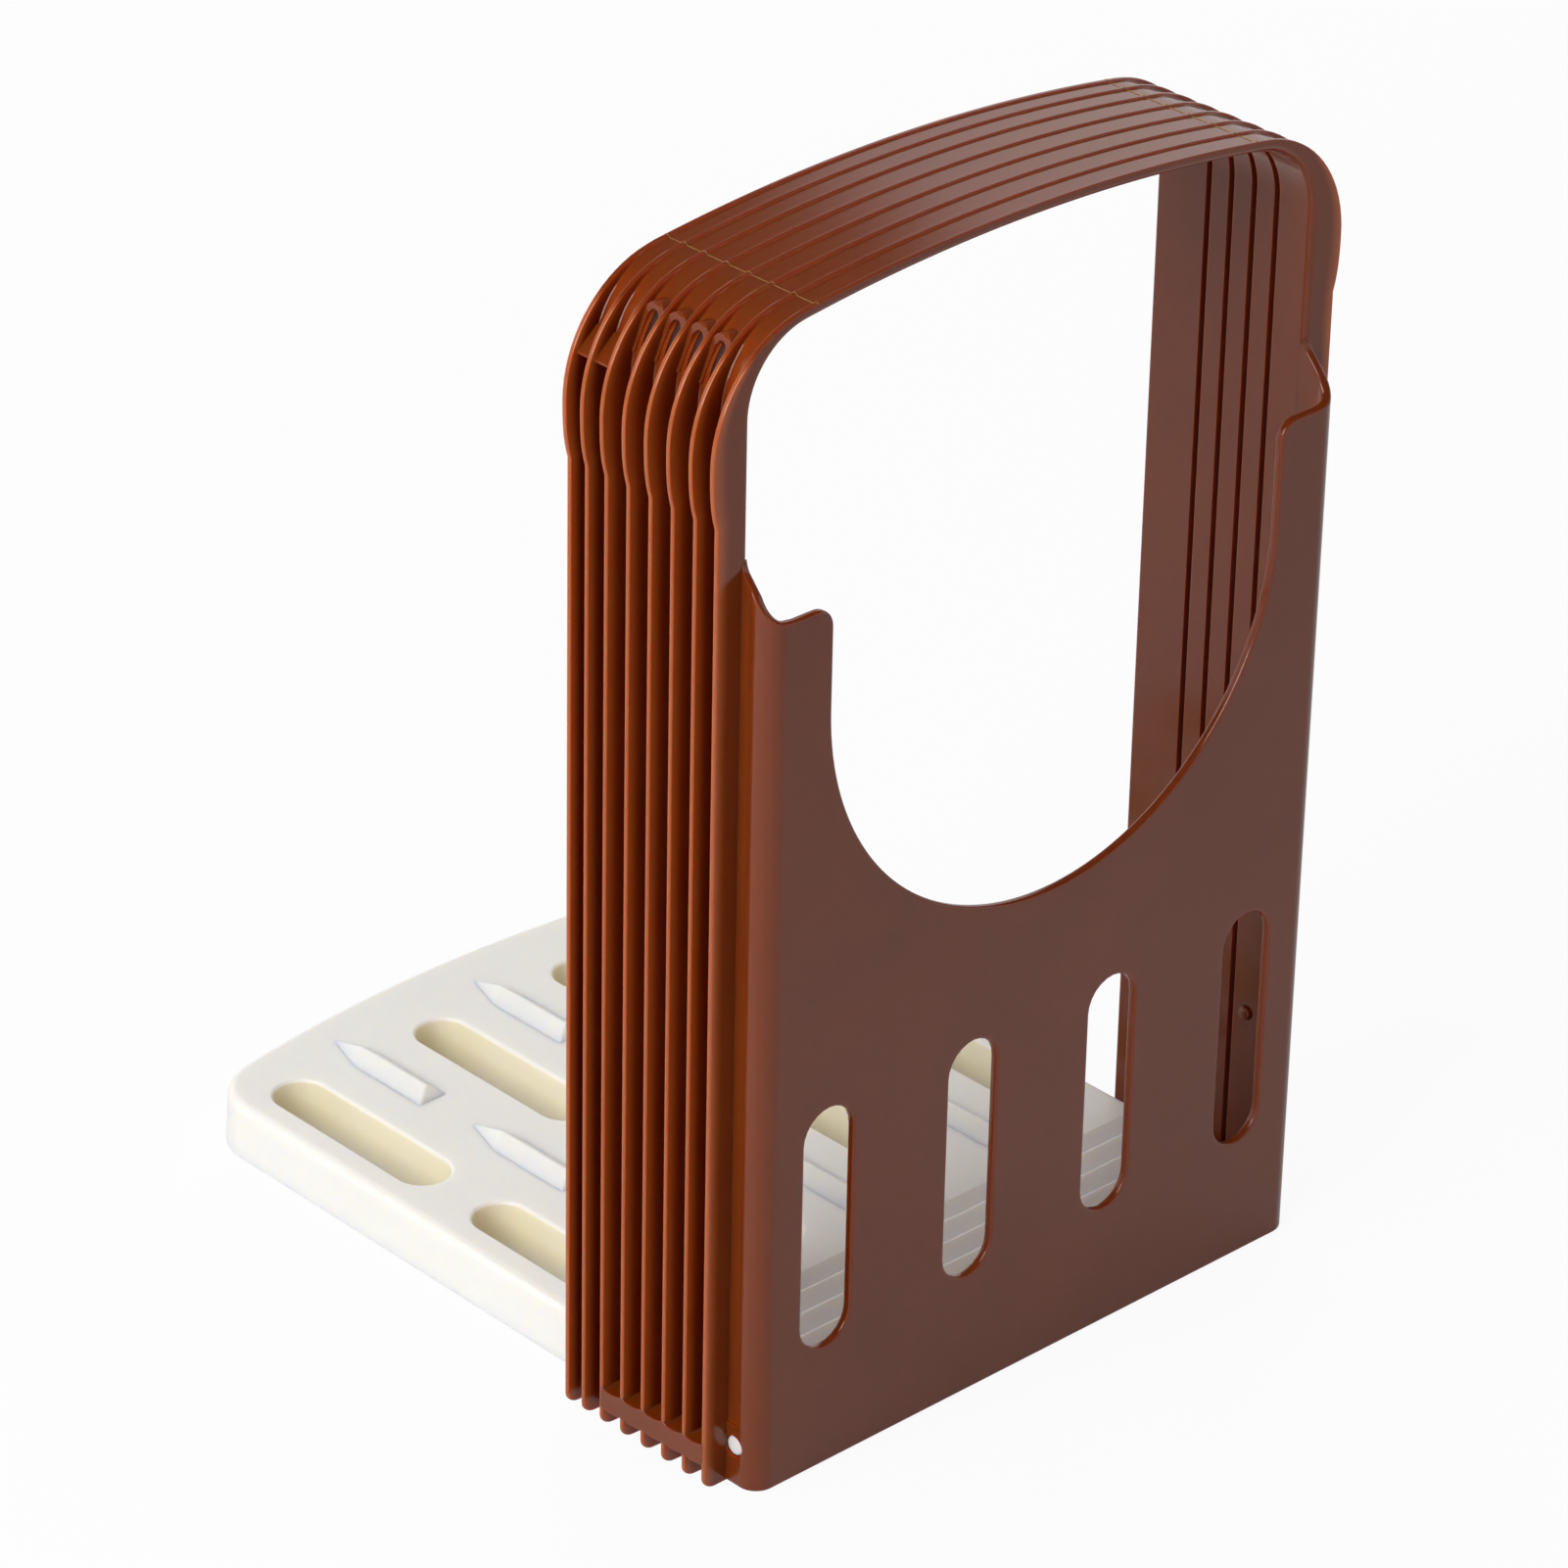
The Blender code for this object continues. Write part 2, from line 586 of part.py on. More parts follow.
def nose_cut(cutters):
    """What the nose leaves free, so that the tray turns clear of the panel and the table."""
    reach = nose_reach()
    foot = PIVOT_HEIGHT - NOSE_CLEARANCE
    rise = TRAY_TOP - PIVOT_HEIGHT
    top_angle = 180 - math.degrees(math.asin(min(1, rise / reach)))
    nose = arc((PIVOT.y, PIVOT_HEIGHT), reach, top_angle, 180, SMALL_STEPS)
    foot_angle = 180 + math.degrees(math.acos(reach / foot))
    sole = arc((PIVOT.y, PIVOT_HEIGHT), foot, foot_angle, 270, SMALL_STEPS)
    far = [(PIVOT.y, -OVERCUT), (FRONT - OVERCUT, -OVERCUT), (FRONT - OVERCUT, TRAY_TOP + OVERCUT)]
    outline = nose + sole + far + [(nose[0][0], TRAY_TOP + OVERCUT)]
    side = OUTER_HALF_WIDTH
    return plate('nose_cut', cutters, outline, -side, side, 'YZ')


def knife_grooves(cutters):
    """One row of grooves under the knife slots: a steep wall, then a long one."""
    planes = knife_planes()
    floor = TRAY_TOP - GROOVE_DEPTH
    outline = [(planes[0] - 2 * GROOVE_STEEP_WALL, TRAY_TOP + GROOVE_DEPTH)]
    for plane, following in zip(planes, planes[1:] + [None]):
        outline.append((plane, floor))
        if following is not None:
            outline.append((following - GROOVE_STEEP_WALL, TRAY_TOP - GROOVE_CREST_DROP))
    outline.append((planes[-1] + 2 * GROOVE_LONG_WALL, TRAY_TOP + GROOVE_DEPTH))
    side = OUTER_HALF_WIDTH
    return plate('knife_grooves', cutters, outline, -side, side, 'YZ')


def tray_slot_centres():
    for end in TRAY_SLOT_ENDS:
        for column in range(TRAY_SLOT_COLUMNS):
            yield (column - (TRAY_SLOT_COLUMNS - 1) / 2) * TRAY_SLOT_PITCH, FRONT + end


def barb(cutters, number, centre, tip):
    """Pointed ridge that holds the loaf: a sloping heel towards the panel and a point at its far end."""
    half = BARB_WIDTH / 2
    heel = tip - BARB_LENGTH
    root = TRAY_TOP - SEAT
    crest = TRAY_TOP + BARB_HEIGHT
    outline = [(-half, heel), (half, heel), (half, tip - BARB_POINT), (0, tip), (-half, tip - BARB_POINT)]
    points = [(centre + u, v, z) for u, v in outline for z in (root, TRAY_TOP)]
    points += [(centre, heel + BARB_HEEL, crest), (centre, tip - BARB_CREST_POINT, crest)]
    return hull(f'barb_{number}', cutters, points)


def pivot_pin(cutters, side):
    """Pin with a shoulder that keeps the tray in the middle, turned on the pivot's line."""
    root = TRAY_HALF_WIDTH - TRAY_SKIRT / 2
    shoulder = TUNNEL_HALF_WIDTH - PIN_COLLAR_GAP
    end = OUTER_HALF_WIDTH - PIN_RECESS
    profile = [(end, 0), (end, PIN_RADIUS - PIN_CHAMFER), (end - PIN_CHAMFER, PIN_RADIUS),
               (shoulder, PIN_RADIUS), (shoulder, PIN_COLLAR_RADIUS), (root, PIN_COLLAR_RADIUS), (root, 0)]
    if side < 0:
        profile = [(-along, radius) for along, radius in reversed(profile)]
    return turned_across('pivot_pin_right' if side > 0 else 'pivot_pin_left', cutters, profile)


def bread_tray(parts, cutters):
    body = tray_body(parts)
    combine(body, tray_cavity(cutters), 'DIFFERENCE')
    half = TRAY_SLOT_WIDTH / 2
    for number, (centre, end) in enumerate(tray_slot_centres(), 1):
        wall = obround(centre, TRAY_SLOT_WIDTH + 2 * TRAY_SLOT_WALL,
                       end - TRAY_SLOT_LENGTH - TRAY_SLOT_WALL, end + TRAY_SLOT_WALL)
        combine(body, plate(f'slot_wall_{number}', cutters, wall, TRAY_FLOOR_GAP,
                            TRAY_TOP - TRAY_PLATE / 2, 'XY'), 'UNION')
    for number, (centre, end) in enumerate(tray_slot_centres(), 1):
        slot = obround(centre, TRAY_SLOT_WIDTH, end - TRAY_SLOT_LENGTH, end)
        combine(body, plate(f'tray_slot_{number}', cutters, slot, -OVERCUT, TRAY_TOP + OVERCUT, 'XY'),
                'DIFFERENCE')
    combine(body, nose_cut(cutters), 'DIFFERENCE')
    combine(body, knife_grooves(cutters), 'DIFFERENCE')
    number = 0
    for tip in BARB_TIPS:
        for column in range(BARB_COLUMNS):
            number += 1
            centre = (column - (BARB_COLUMNS - 1) / 2) * TRAY_SLOT_PITCH
            combine(body, barb(cutters, number, centre, FRONT + tip), 'UNION')
    for side in (-1, 1):
        combine(body, pivot_pin(cutters, side), 'UNION')
    body.data.materials.append(plastic('ivory_plastic', (0.80, 0.76, 0.68), 0.35))
    return body


def main():
    for thing in list(bpy.data.objects):
        bpy.data.objects.remove(thing)
    parts = collection('bread_slicing_guide')
    cutters = collection('cutters', hidden=True)
    frame = slicing_frame(parts, cutters)
    pivot = bpy.data.objects.new('tray_pivot', None)
    pivot.location = PIVOT
    pivot.empty_display_size = PIVOT_HEIGHT
    parts.objects.link(pivot)
    bpy.context.view_layer.update()
    tray = bread_tray(parts, cutters)
    tray.parent = pivot
    tray.matrix_parent_inverse = pivot.matrix_world.inverted()
    for piece in (frame, tray):
        piece.data.shade_smooth()
        piece.data.set_sharp_from_angle(angle=math.radians(30))


main()
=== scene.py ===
# %% [markdown]
# A folding bread slicing guide. A brown arch with thin fins stands on the table, and an ivory
# tray with barbs is hinged into its foot. Both are glossy mouldings, so the lesson is about
# clean surfaces: even walls, small round edges that catch the light, and calm reflections.
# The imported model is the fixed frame. Everything made here is measured from it.

# %% Load the frame
import math
from functools import partial

import bmesh
import bpy
from mathutils import Matrix, Vector


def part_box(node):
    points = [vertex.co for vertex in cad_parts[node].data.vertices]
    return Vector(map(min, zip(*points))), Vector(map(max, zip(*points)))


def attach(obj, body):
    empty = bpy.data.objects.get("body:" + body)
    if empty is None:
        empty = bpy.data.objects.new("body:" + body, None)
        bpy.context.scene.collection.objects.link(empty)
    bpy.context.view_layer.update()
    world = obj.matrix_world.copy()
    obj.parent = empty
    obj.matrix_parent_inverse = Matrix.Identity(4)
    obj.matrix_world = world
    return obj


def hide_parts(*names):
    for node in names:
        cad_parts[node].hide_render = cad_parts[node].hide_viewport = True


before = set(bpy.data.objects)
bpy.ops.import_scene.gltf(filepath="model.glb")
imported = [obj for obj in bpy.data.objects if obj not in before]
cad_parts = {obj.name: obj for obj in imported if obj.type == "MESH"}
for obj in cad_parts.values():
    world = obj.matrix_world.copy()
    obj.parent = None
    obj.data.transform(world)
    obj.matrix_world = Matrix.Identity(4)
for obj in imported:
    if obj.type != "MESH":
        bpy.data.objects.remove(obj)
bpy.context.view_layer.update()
frame_low, frame_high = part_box("slicing_frame")
tray_low, tray_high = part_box("bread_tray")
print("frame from", tuple(frame_low), "to", tuple(frame_high))
print("tray from", tuple(tray_low), "to", tuple(tray_high))

# %% [markdown]
# The camera stands 1.3 m away, to the left of the panel, and looks down on it. A long lens
# keeps the fins nearly parallel. Its direction is written as an azimuth, an elevation and a
# small roll, because a photographer would say it that way.

# %% Camera
CAMERA_PLACE = (-0.77334, -0.83456, 0.70360)
CAMERA_AZIMUTH = -43.36712
CAMERA_ELEVATION = 28.33540
CAMERA_ROLL = 1.14617
IMAGE_SIZE = 1601
FOCAL_PIXELS = 6754.579
SENSOR = 36.0


def camera_turn(azimuth, elevation, roll):
    """Rotation of a camera that looks along an azimuth and down by an elevation."""
    a, e, r = (math.radians(angle) for angle in (azimuth, elevation, roll))
    back = Vector((math.sin(a) * math.cos(e), -math.cos(a) * math.cos(e), math.sin(e)))
    level = Vector((math.cos(a), math.sin(a), 0))
    upright = back.cross(level)
    right = math.cos(r) * level + math.sin(r) * upright
    up = math.cos(r) * upright - math.sin(r) * level
    return Matrix((right, up, back)).transposed().to_4x4()


scene = bpy.context.scene
lens = bpy.data.cameras.new("camera")
lens.sensor_width = SENSOR
lens.lens = FOCAL_PIXELS / IMAGE_SIZE * SENSOR
camera = bpy.data.objects.new("camera", lens)
camera.matrix_world = Matrix.Translation(CAMERA_PLACE) @ camera_turn(
    CAMERA_AZIMUTH, CAMERA_ELEVATION, CAMERA_ROLL)
scene.collection.objects.link(camera)
scene.camera = camera
scene.view_settings.view_transform = "Standard"
print("lens", round(lens.lens, 1), "mm")

# %% [markdown]
# The floor is plain and pale, and wide enough to fill the picture from above. It could be
# pure light, but then nothing would stand on it. So it is a real diffuse surface, which
# carries the object's soft shadow, with white laid over it where the camera looks and, less,
# in reflections.

# %% Floor
FLOOR_SIZE = 12.0
FLOOR_DROP = 0.0004
FLOOR_COLOUR = (0.80, 0.80, 0.80, 1)
FLOOR_WHITE = 0.93
FLOOR_MIRRORED = 0.35


def add(tree, kind, **values):
    """Make a shader node; a value goes to the socket of that name, or else to the property."""
    node = tree.nodes.new(kind)
    for key, value in values.items():
        if key in node.inputs:
            node.inputs[key].default_value = value
        else:
            setattr(node, key, value)
    return node


def floor_paint():
    """Matt paint under a share of plain white light, which shadows still darken a little."""
    material = bpy.data.materials.new("floor_paint")
    material.use_nodes = True
    tree = material.node_tree
    link = tree.links.new
    shader = tree.nodes["Principled BSDF"]
    shader.inputs["Base Color"].default_value = FLOOR_COLOUR
    shader.inputs["Roughness"].default_value = 1.0
    shader.inputs["Specular IOR Level"].default_value = 0.0
    white = add(tree, "ShaderNodeEmission", Strength=1.0)
    path = add(tree, "ShaderNodeLightPath")
    mirrored = add(tree, "ShaderNodeMath", operation="MULTIPLY")
    mirrored.inputs[1].default_value = FLOOR_MIRRORED
    direct = add(tree, "ShaderNodeMath", operation="MAXIMUM")
    seen = add(tree, "ShaderNodeMath", operation="MAXIMUM")
    share = add(tree, "ShaderNodeMath", operation="MULTIPLY")
    share.inputs[1].default_value = FLOOR_WHITE
    mix = add(tree, "ShaderNodeMixShader")
    link(path.outputs["Is Glossy Ray"], mirrored.inputs[0])
    link(path.outputs["Is Camera Ray"], direct.inputs[0])
    link(path.outputs["Is Transmission Ray"], direct.inputs[1])
    link(direct.outputs[0], seen.inputs[0])
    link(mirrored.outputs[0], seen.inputs[1])
    link(seen.outputs[0], share.inputs[0])
    link(share.outputs[0], mix.inputs["Fac"])
    link(shader.outputs[0], mix.inputs[1])
    link(white.outputs[0], mix.inputs[2])
    link(mix.outputs[0], tree.nodes["Material Output"].inputs["Surface"])
    return material


def make_floor():
    sheet = bmesh.new()
    bmesh.ops.create_grid(sheet, x_segments=1, y_segments=1, size=FLOOR_SIZE / 2)
    mesh = bpy.data.meshes.new("floor")
    sheet.to_mesh(mesh)
    sheet.free()
    mesh.materials.append(floor_paint())
    floor = bpy.data.objects.new("floor", mesh)
    floor.location = (0, 0, -FLOOR_DROP)
    scene.collection.objects.link(floor)
    return floor


floor = make_floor()
print("floor", floor.dimensions.x, "m wide, top at", floor.location.z)

# %% [markdown]
# The world plays three parts. It is white where the camera looks past the floor or through
# something clear. As a light it is dimmer, so that the ivory tray keeps its colour. In
# reflections it is white near the horizon and darker overhead, as in a studio with a dark
# ceiling, which gives the crown of the arch its contrast.

# %% World
WORLD_LIGHT = 0.28
WORLD_SEEN = 1.0
WORLD_ABOVE = 0.10
SKY_START, SKY_END = 0.43, 0.51
WHITE = (1, 1, 1, 1)


def mirror_sky(tree):
    """Background for reflections: white at the horizon, darker from a certain height on."""
    link = tree.links.new
    mirror = add(tree, "ShaderNodeBackground", Color=WHITE)
    place = add(tree, "ShaderNodeTexCoord")
    split = add(tree, "ShaderNodeSeparateXYZ")
    fade = add(tree, "ShaderNodeMapRange")
    fade.inputs["From Min"].default_value = SKY_START
    fade.inputs["From Max"].default_value = SKY_END
    fade.inputs["To Min"].default_value = WORLD_SEEN
    fade.inputs["To Max"].default_value = WORLD_ABOVE
    link(place.outputs["Generated"], split.inputs[0])
    link(split.outputs["Z"], fade.inputs["Value"])
    link(fade.outputs["Result"], mirror.inputs["Strength"])
    return mirror


def make_world():
    world = bpy.data.worlds.new("studio")
    scene.world = world
    world.use_nodes = True
    tree = world.node_tree
    tree.nodes.clear()
    link = tree.links.new
    light = add(tree, "ShaderNodeBackground", Color=WHITE, Strength=WORLD_LIGHT)
    seen = add(tree, "ShaderNodeBackground", Color=WHITE, Strength=WORLD_SEEN)
    path = add(tree, "ShaderNodeLightPath")
    direct = add(tree, "ShaderNodeMath", operation="MAXIMUM")
    glossy = add(tree, "ShaderNodeMixShader")
    whole = add(tree, "ShaderNodeMixShader")
    out = add(tree, "ShaderNodeOutputWorld")
    link(path.outputs["Is Camera Ray"], direct.inputs[0])
    link(path.outputs["Is Transmission Ray"], direct.inputs[1])
    link(path.outputs["Is Glossy Ray"], glossy.inputs["Fac"])
    link(light.outputs[0], glossy.inputs[1])
    link(mirror_sky(tree).outputs[0], glossy.inputs[2])
    link(direct.outputs[0], whole.inputs["Fac"])
    link(glossy.outputs[0], whole.inputs[1])
    link(seen.outputs[0], whole.inputs[2])
    link(whole.outputs[0], out.inputs["Surface"])
    return world


print("world", make_world().name, "lights at", WORLD_LIGHT)

# %% [markdown]
# Two soft boxes do the modelling. The stronger one, at the left, lights the shoulder, the
# tray's side and every fin's edge. The one behind sends light through the arch onto the
# tray. Its own reflection would hide the ridges of the crown, so reflections don't show it.

# %% Lights
LAMPS = (
    ("lamp_left", (-1.15, -0.16, 0.95), (0.9, 0.9), 18.5, True),
    ("lamp_behind", (0.98, 1.05, 1.00), (1.1, 0.9), 10.0, False),
)
LAMP_TARGET = Vector((0, 0, 0.10))


def make_lamp(name, place, size, power, reflected):
    data = bpy.data.lights.new(name, "AREA")
    data.shape = "RECTANGLE"
    data.size, data.size_y = size
    data.energy = power
    lamp = bpy.data.objects.new(name, data)
    lamp.location = place
    lamp.rotation_euler = (LAMP_TARGET - Vector(place)).to_track_quat("-Z", "Y").to_euler()
    lamp.visible_glossy = reflected
    scene.collection.objects.link(lamp)
    print(name, power, "W")


for lamp in LAMPS:
    make_lamp(*lamp)

# %% [markdown]
# Both plastics are dielectric, so their shine comes from the shader and not from a colour.
# Moulding leaves faint clouds in the colour, and a very fine texture, so colour, roughness and surface
# vary by small amounts. The brown lets some light through, and on top of that light and shade are painted
# into its colour: painted shade makes it deep between the fins, where light dies, painted light brightens
# their flanks near the edges, and a painted glow makes it orange in their thin edges. How enclosed a spot
# is comes from ambient occlusion, and how thin it is from a mask for the painted glow, which the arch
# carries on its points. The ivory only gets yellower inside its slots, as painted bounce light and shade.

# %% Colour of a plastic
CLOUD_SCALE, CLOUD_DETAIL, CLOUD_RANGE = 35.0, 3.0, (0.3, 0.7)
GLOW_START = 0.5


def ramp(tree, source, stops):
    """Colour ramp driven by a socket, from (position, colour) pairs."""
    node = add(tree, "ShaderNodeValToRGB")
    while len(node.color_ramp.elements) < len(stops):
        node.color_ramp.elements.new(0.5)
    for stop, (position, colour) in zip(node.color_ramp.elements, stops):
        stop.position = position
        stop.color = (*colour, 1)
    tree.links.new(source, node.inputs["Fac"])
    return node.outputs["Color"]


def with_painted_light_and_shade(tree, colour, reach, light_and_shade_tones):
    """Colour multiplied by a tone of painted shade or painted light, which depends on how open a spot is
    within its reach.
    """
    openness = add(tree, "ShaderNodeAmbientOcclusion", Distance=reach, samples=8, only_local=True)
    mix = add(tree, "ShaderNodeMix", data_type="RGBA", blend_type="MULTIPLY")
    mix.inputs["Factor"].default_value = 1.0
    tree.links.new(colour, mix.inputs["A"])
    tree.links.new(ramp(tree, openness.outputs["AO"], light_and_shade_tones), mix.inputs["B"])
    return mix.outputs["Result"]


def with_painted_glow(tree, colour, painted_glow_colour):
    """Colour that turns into a painted glow colour where the plastic is thin, as if light shone through
    the fins' edges.
    """
    glow_mask_input = add(tree, "ShaderNodeAttribute", attribute_name="glow_mask")
    share = add(tree, "ShaderNodeMapRange", interpolation_type="SMOOTHSTEP")
    share.inputs["From Min"].default_value = GLOW_START
    mix = add(tree, "ShaderNodeMix", data_type="RGBA", blend_type="MIX")
    mix.inputs["B"].default_value = (*painted_glow_colour, 1)
    tree.links.new(glow_mask_input.outputs["Fac"], share.inputs["Value"])
    tree.links.new(share.outputs["Result"], mix.inputs["Factor"])
    tree.links.new(colour, mix.inputs["A"])
    return mix.outputs["Result"]


# %% Plastics
GRAIN_SCALE, GRAIN_DETAIL, GRAIN_DEPTH = 900.0, 2.0, 0.0002
PLASTIC_IOR = 1.46


def plastic(name, colours, light_and_shade_tones, reach, roughness, grain, scatter, radius, painted_glow_colour=None):
    """Moulded plastic: cloudy colour with painted shade and light, a little rough, with fine grain and
    light inside.
    """
    material = bpy.data.materials.new(name)
    material.use_nodes = True
    tree = material.node_tree
    link = tree.links.new
    shader = tree.nodes["Principled BSDF"]
    place = add(tree, "ShaderNodeTexCoord")
    cloud = add(tree, "ShaderNodeTexNoise", Scale=CLOUD_SCALE, Detail=CLOUD_DETAIL)
    link(place.outputs["Object"], cloud.inputs["Vector"])
    colour = ramp(tree, cloud.outputs["Fac"], list(zip(CLOUD_RANGE, colours)))
    # Painted shade in enclosed spots, and for the brown also painted light on the fins' flanks.
    colour = with_painted_light_and_shade(tree, colour, reach, light_and_shade_tones)
    # Painted glow on the fins' thin edges, standing in for light that shines through them.
    if painted_glow_colour:
        colour = with_painted_glow(tree, colour, painted_glow_colour)
    link(colour, shader.inputs["Base Color"])

    gloss = add(tree, "ShaderNodeMapRange")
    gloss.inputs["To Min"].default_value = roughness[0]
    gloss.inputs["To Max"].default_value = roughness[1]
    link(cloud.outputs["Fac"], gloss.inputs["Value"])
    link(gloss.outputs["Result"], shader.inputs["Roughness"])
    spots = add(tree, "ShaderNodeTexNoise", Scale=GRAIN_SCALE, Detail=GRAIN_DETAIL)
    bump = add(tree, "ShaderNodeBump", Strength=grain, Distance=GRAIN_DEPTH)
    link(place.outputs["Object"], spots.inputs["Vector"])
    link(spots.outputs["Fac"], bump.inputs["Height"])
    link(bump.outputs["Normal"], shader.inputs["Normal"])
    shader.inputs["IOR"].default_value = PLASTIC_IOR
    shader.inputs["Subsurface Weight"].default_value = scatter
    shader.inputs["Subsurface Radius"].default_value = radius
    shader.inputs["Subsurface Scale"].default_value = 1.0
    print(name, "with", len(tree.nodes), "nodes")
    return material


brown = plastic(
    "brown_plastic",
    colours=((0.350, 0.064, 0.0060), (0.390, 0.074, 0.0075)),
    # Painted shade deep between the fins, painted light on their flanks near the edges, then the open
    # colour.
    light_and_shade_tones=((0.30, (0.18, 0.03, 0.01)), (0.68, (0.85, 0.70, 0.60)), (0.90, (0.48, 0.44, 0.42))),
    reach=0.006,
    roughness=(0.10, 0.15),
    grain=0.03,
    scatter=0.9,
    radius=(0.0030, 0.0006, 0.00012),
    # Painted glow colour for the fins' thin edges.
    painted_glow_colour=(0.37, 0.095, 0.017))
ivory = plastic(
    "ivory_plastic",
    colours=((0.940, 0.915, 0.885), (0.955, 0.930, 0.900)),
    # Painted yellow bounce light and shade inside the slots, then the open colour.
    light_and_shade_tones=((0.42, (1.0, 0.87, 0.56)), (0.75, (0.965, 0.932, 0.902))),
    reach=0.030,
    roughness=(0.30, 0.38),
    grain=0.04,
    scatter=0.7,
    radius=(0.0040, 0.0030, 0.0016))

# %% [markdown]
# All outlines are drawn in the front view, the side view or in plan, as a draughtsman would.
# What is symmetric is drawn as its right half and mirrored. Arcs are written once, as a
# helper, and are fine enough to look round from close by. Every piece leaves the bench the
# same way: as a smooth mesh with one plastic, which rides on its body.

# %% Drawing helpers
WELD = 0.000001
SMOOTH_ANGLE = math.radians(38)
QUARTER = (0, 22.5, 45, 67.5, 90)
SIDES = ((-1, "left"), (1, "right"))


def arc(centre, radius, start, end, steps):
    """Points along a circular arc, with its angles in degrees."""
    points = []
    for i in range(steps + 1):
        angle = math.radians(start + (end - start) * i / steps)
        points.append((centre[0] + radius * math.cos(angle), centre[1] + radius * math.sin(angle)))
    return points


def obround(centre, width, low, high, steps=12):
    """Upright slot outline with round ends, anticlockwise."""
    radius = width / 2
    lower = arc((centre, low + radius), radius, 180, 360, steps)
    upper = arc((centre, high - radius), radius, 0, 180, steps)
    return lower + upper


def shoulder(half_width, corner_radius, crown_height, crown_radius, corner_steps, crown_steps):
    """From the top of a straight side, round the corner and along the crown to the middle."""
    crown_centre = crown_height - crown_radius
    corner_u = half_width - corner_radius
    corner_v = crown_centre + math.sqrt((crown_radius - corner_radius) ** 2 - corner_u ** 2)
    meet = math.degrees(math.atan2(corner_v - crown_centre, corner_u))
    corner = arc((corner_u, corner_v), corner_radius, 0, meet, corner_steps)
    crown = arc((0, crown_centre), crown_radius, meet, 90, crown_steps)
    crown[-1] = (0, crown_height)
    return corner + crown[1:]


def object_from(name, shape, material, body):
    """Finish a bmesh as a smooth object with its plastic, riding on its body."""
    bmesh.ops.recalc_face_normals(shape, faces=shape.faces)
    mesh = bpy.data.meshes.new(name)
    shape.to_mesh(mesh)
    shape.free()
    mesh.materials.append(material)
    mesh.shade_smooth()
    mesh.set_sharp_from_angle(angle=SMOOTH_ANGLE)
    thing = bpy.data.objects.new(name, mesh)
    scene.collection.objects.link(thing)
    weight = thing.modifiers.new("even_normals", "WEIGHTED_NORMAL")
    weight.keep_sharp = True
    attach(thing, body)
    print(name, len(mesh.polygons), "faces")
    return thing


# %% [markdown]
# The arch is one long moulding profile carried round the loaf space. It could be cut from a
# block, but then its many round edges would be hard to keep even. Three curves give its form:
# the loaf space, the wall's outside and the fins' edge. A point on any ring is a distance
# from one of those curves, so the fins can have round edges and a small fillet at their
# root, and both shrink where the fins run out into low ridges over the crown.

# %% Sizes of the arch
FRONT = frame_low.y
TUNNEL_HALF, OUTER_HALF, FIN_HALF = 0.0705, 0.0725, 0.0779
TUNNEL_TOP, WEB_TOP = 0.2374, 0.2393
ARCH_TOP = frame_high.z
TUNNEL_CORNER, WEB_CORNER, FIN_CORNER = 0.0155, 0.01745, 0.0250
CROWN_RADIUS = 0.4090
BULGE, BULGE_START = frame_high.x - FIN_HALF, 0.1997
FIN_FOOT = 0.0023
FIN_HALF_THICK = 0.00055
FIN_PLANES = [FRONT + d for d in (0.0086, 0.0141, 0.0199, 0.0257, 0.0315, 0.0373, 0.0425, 0.0471)]
KNIFE_PLANES = [(a + b) / 2 for a, b in zip(FIN_PLANES[1:5], FIN_PLANES[2:6])]
ARCH_FRONT, ARCH_BACK = FIN_PLANES[0] - FIN_HALF_THICK, FIN_PLANES[-1] + FIN_HALF_THICK
FIN_TIP, FIN_ROOT = 0.00048, 0.00058
EDGE_ROUND, ROOT_ROUND = 0.00040, 0.00045
LOW_FIN = 0.0020
FRONT_RIM, BACK_RIM = 0.0014, 0.0006
SLOT_HALF = 0.0007
SLOT_LOW = 0.0099
CORNER_STEPS, CROWN_STEPS, BULGE_STEPS, FOOT_STEPS = 18, 26, 8, 6
SLOT_CORNER_STEP = 9
print("arch from", round(ARCH_FRONT, 4), "to", round(ARCH_BACK, 4), "m, knife planes",
      [round(y, 4) for y in KNIFE_PLANES])


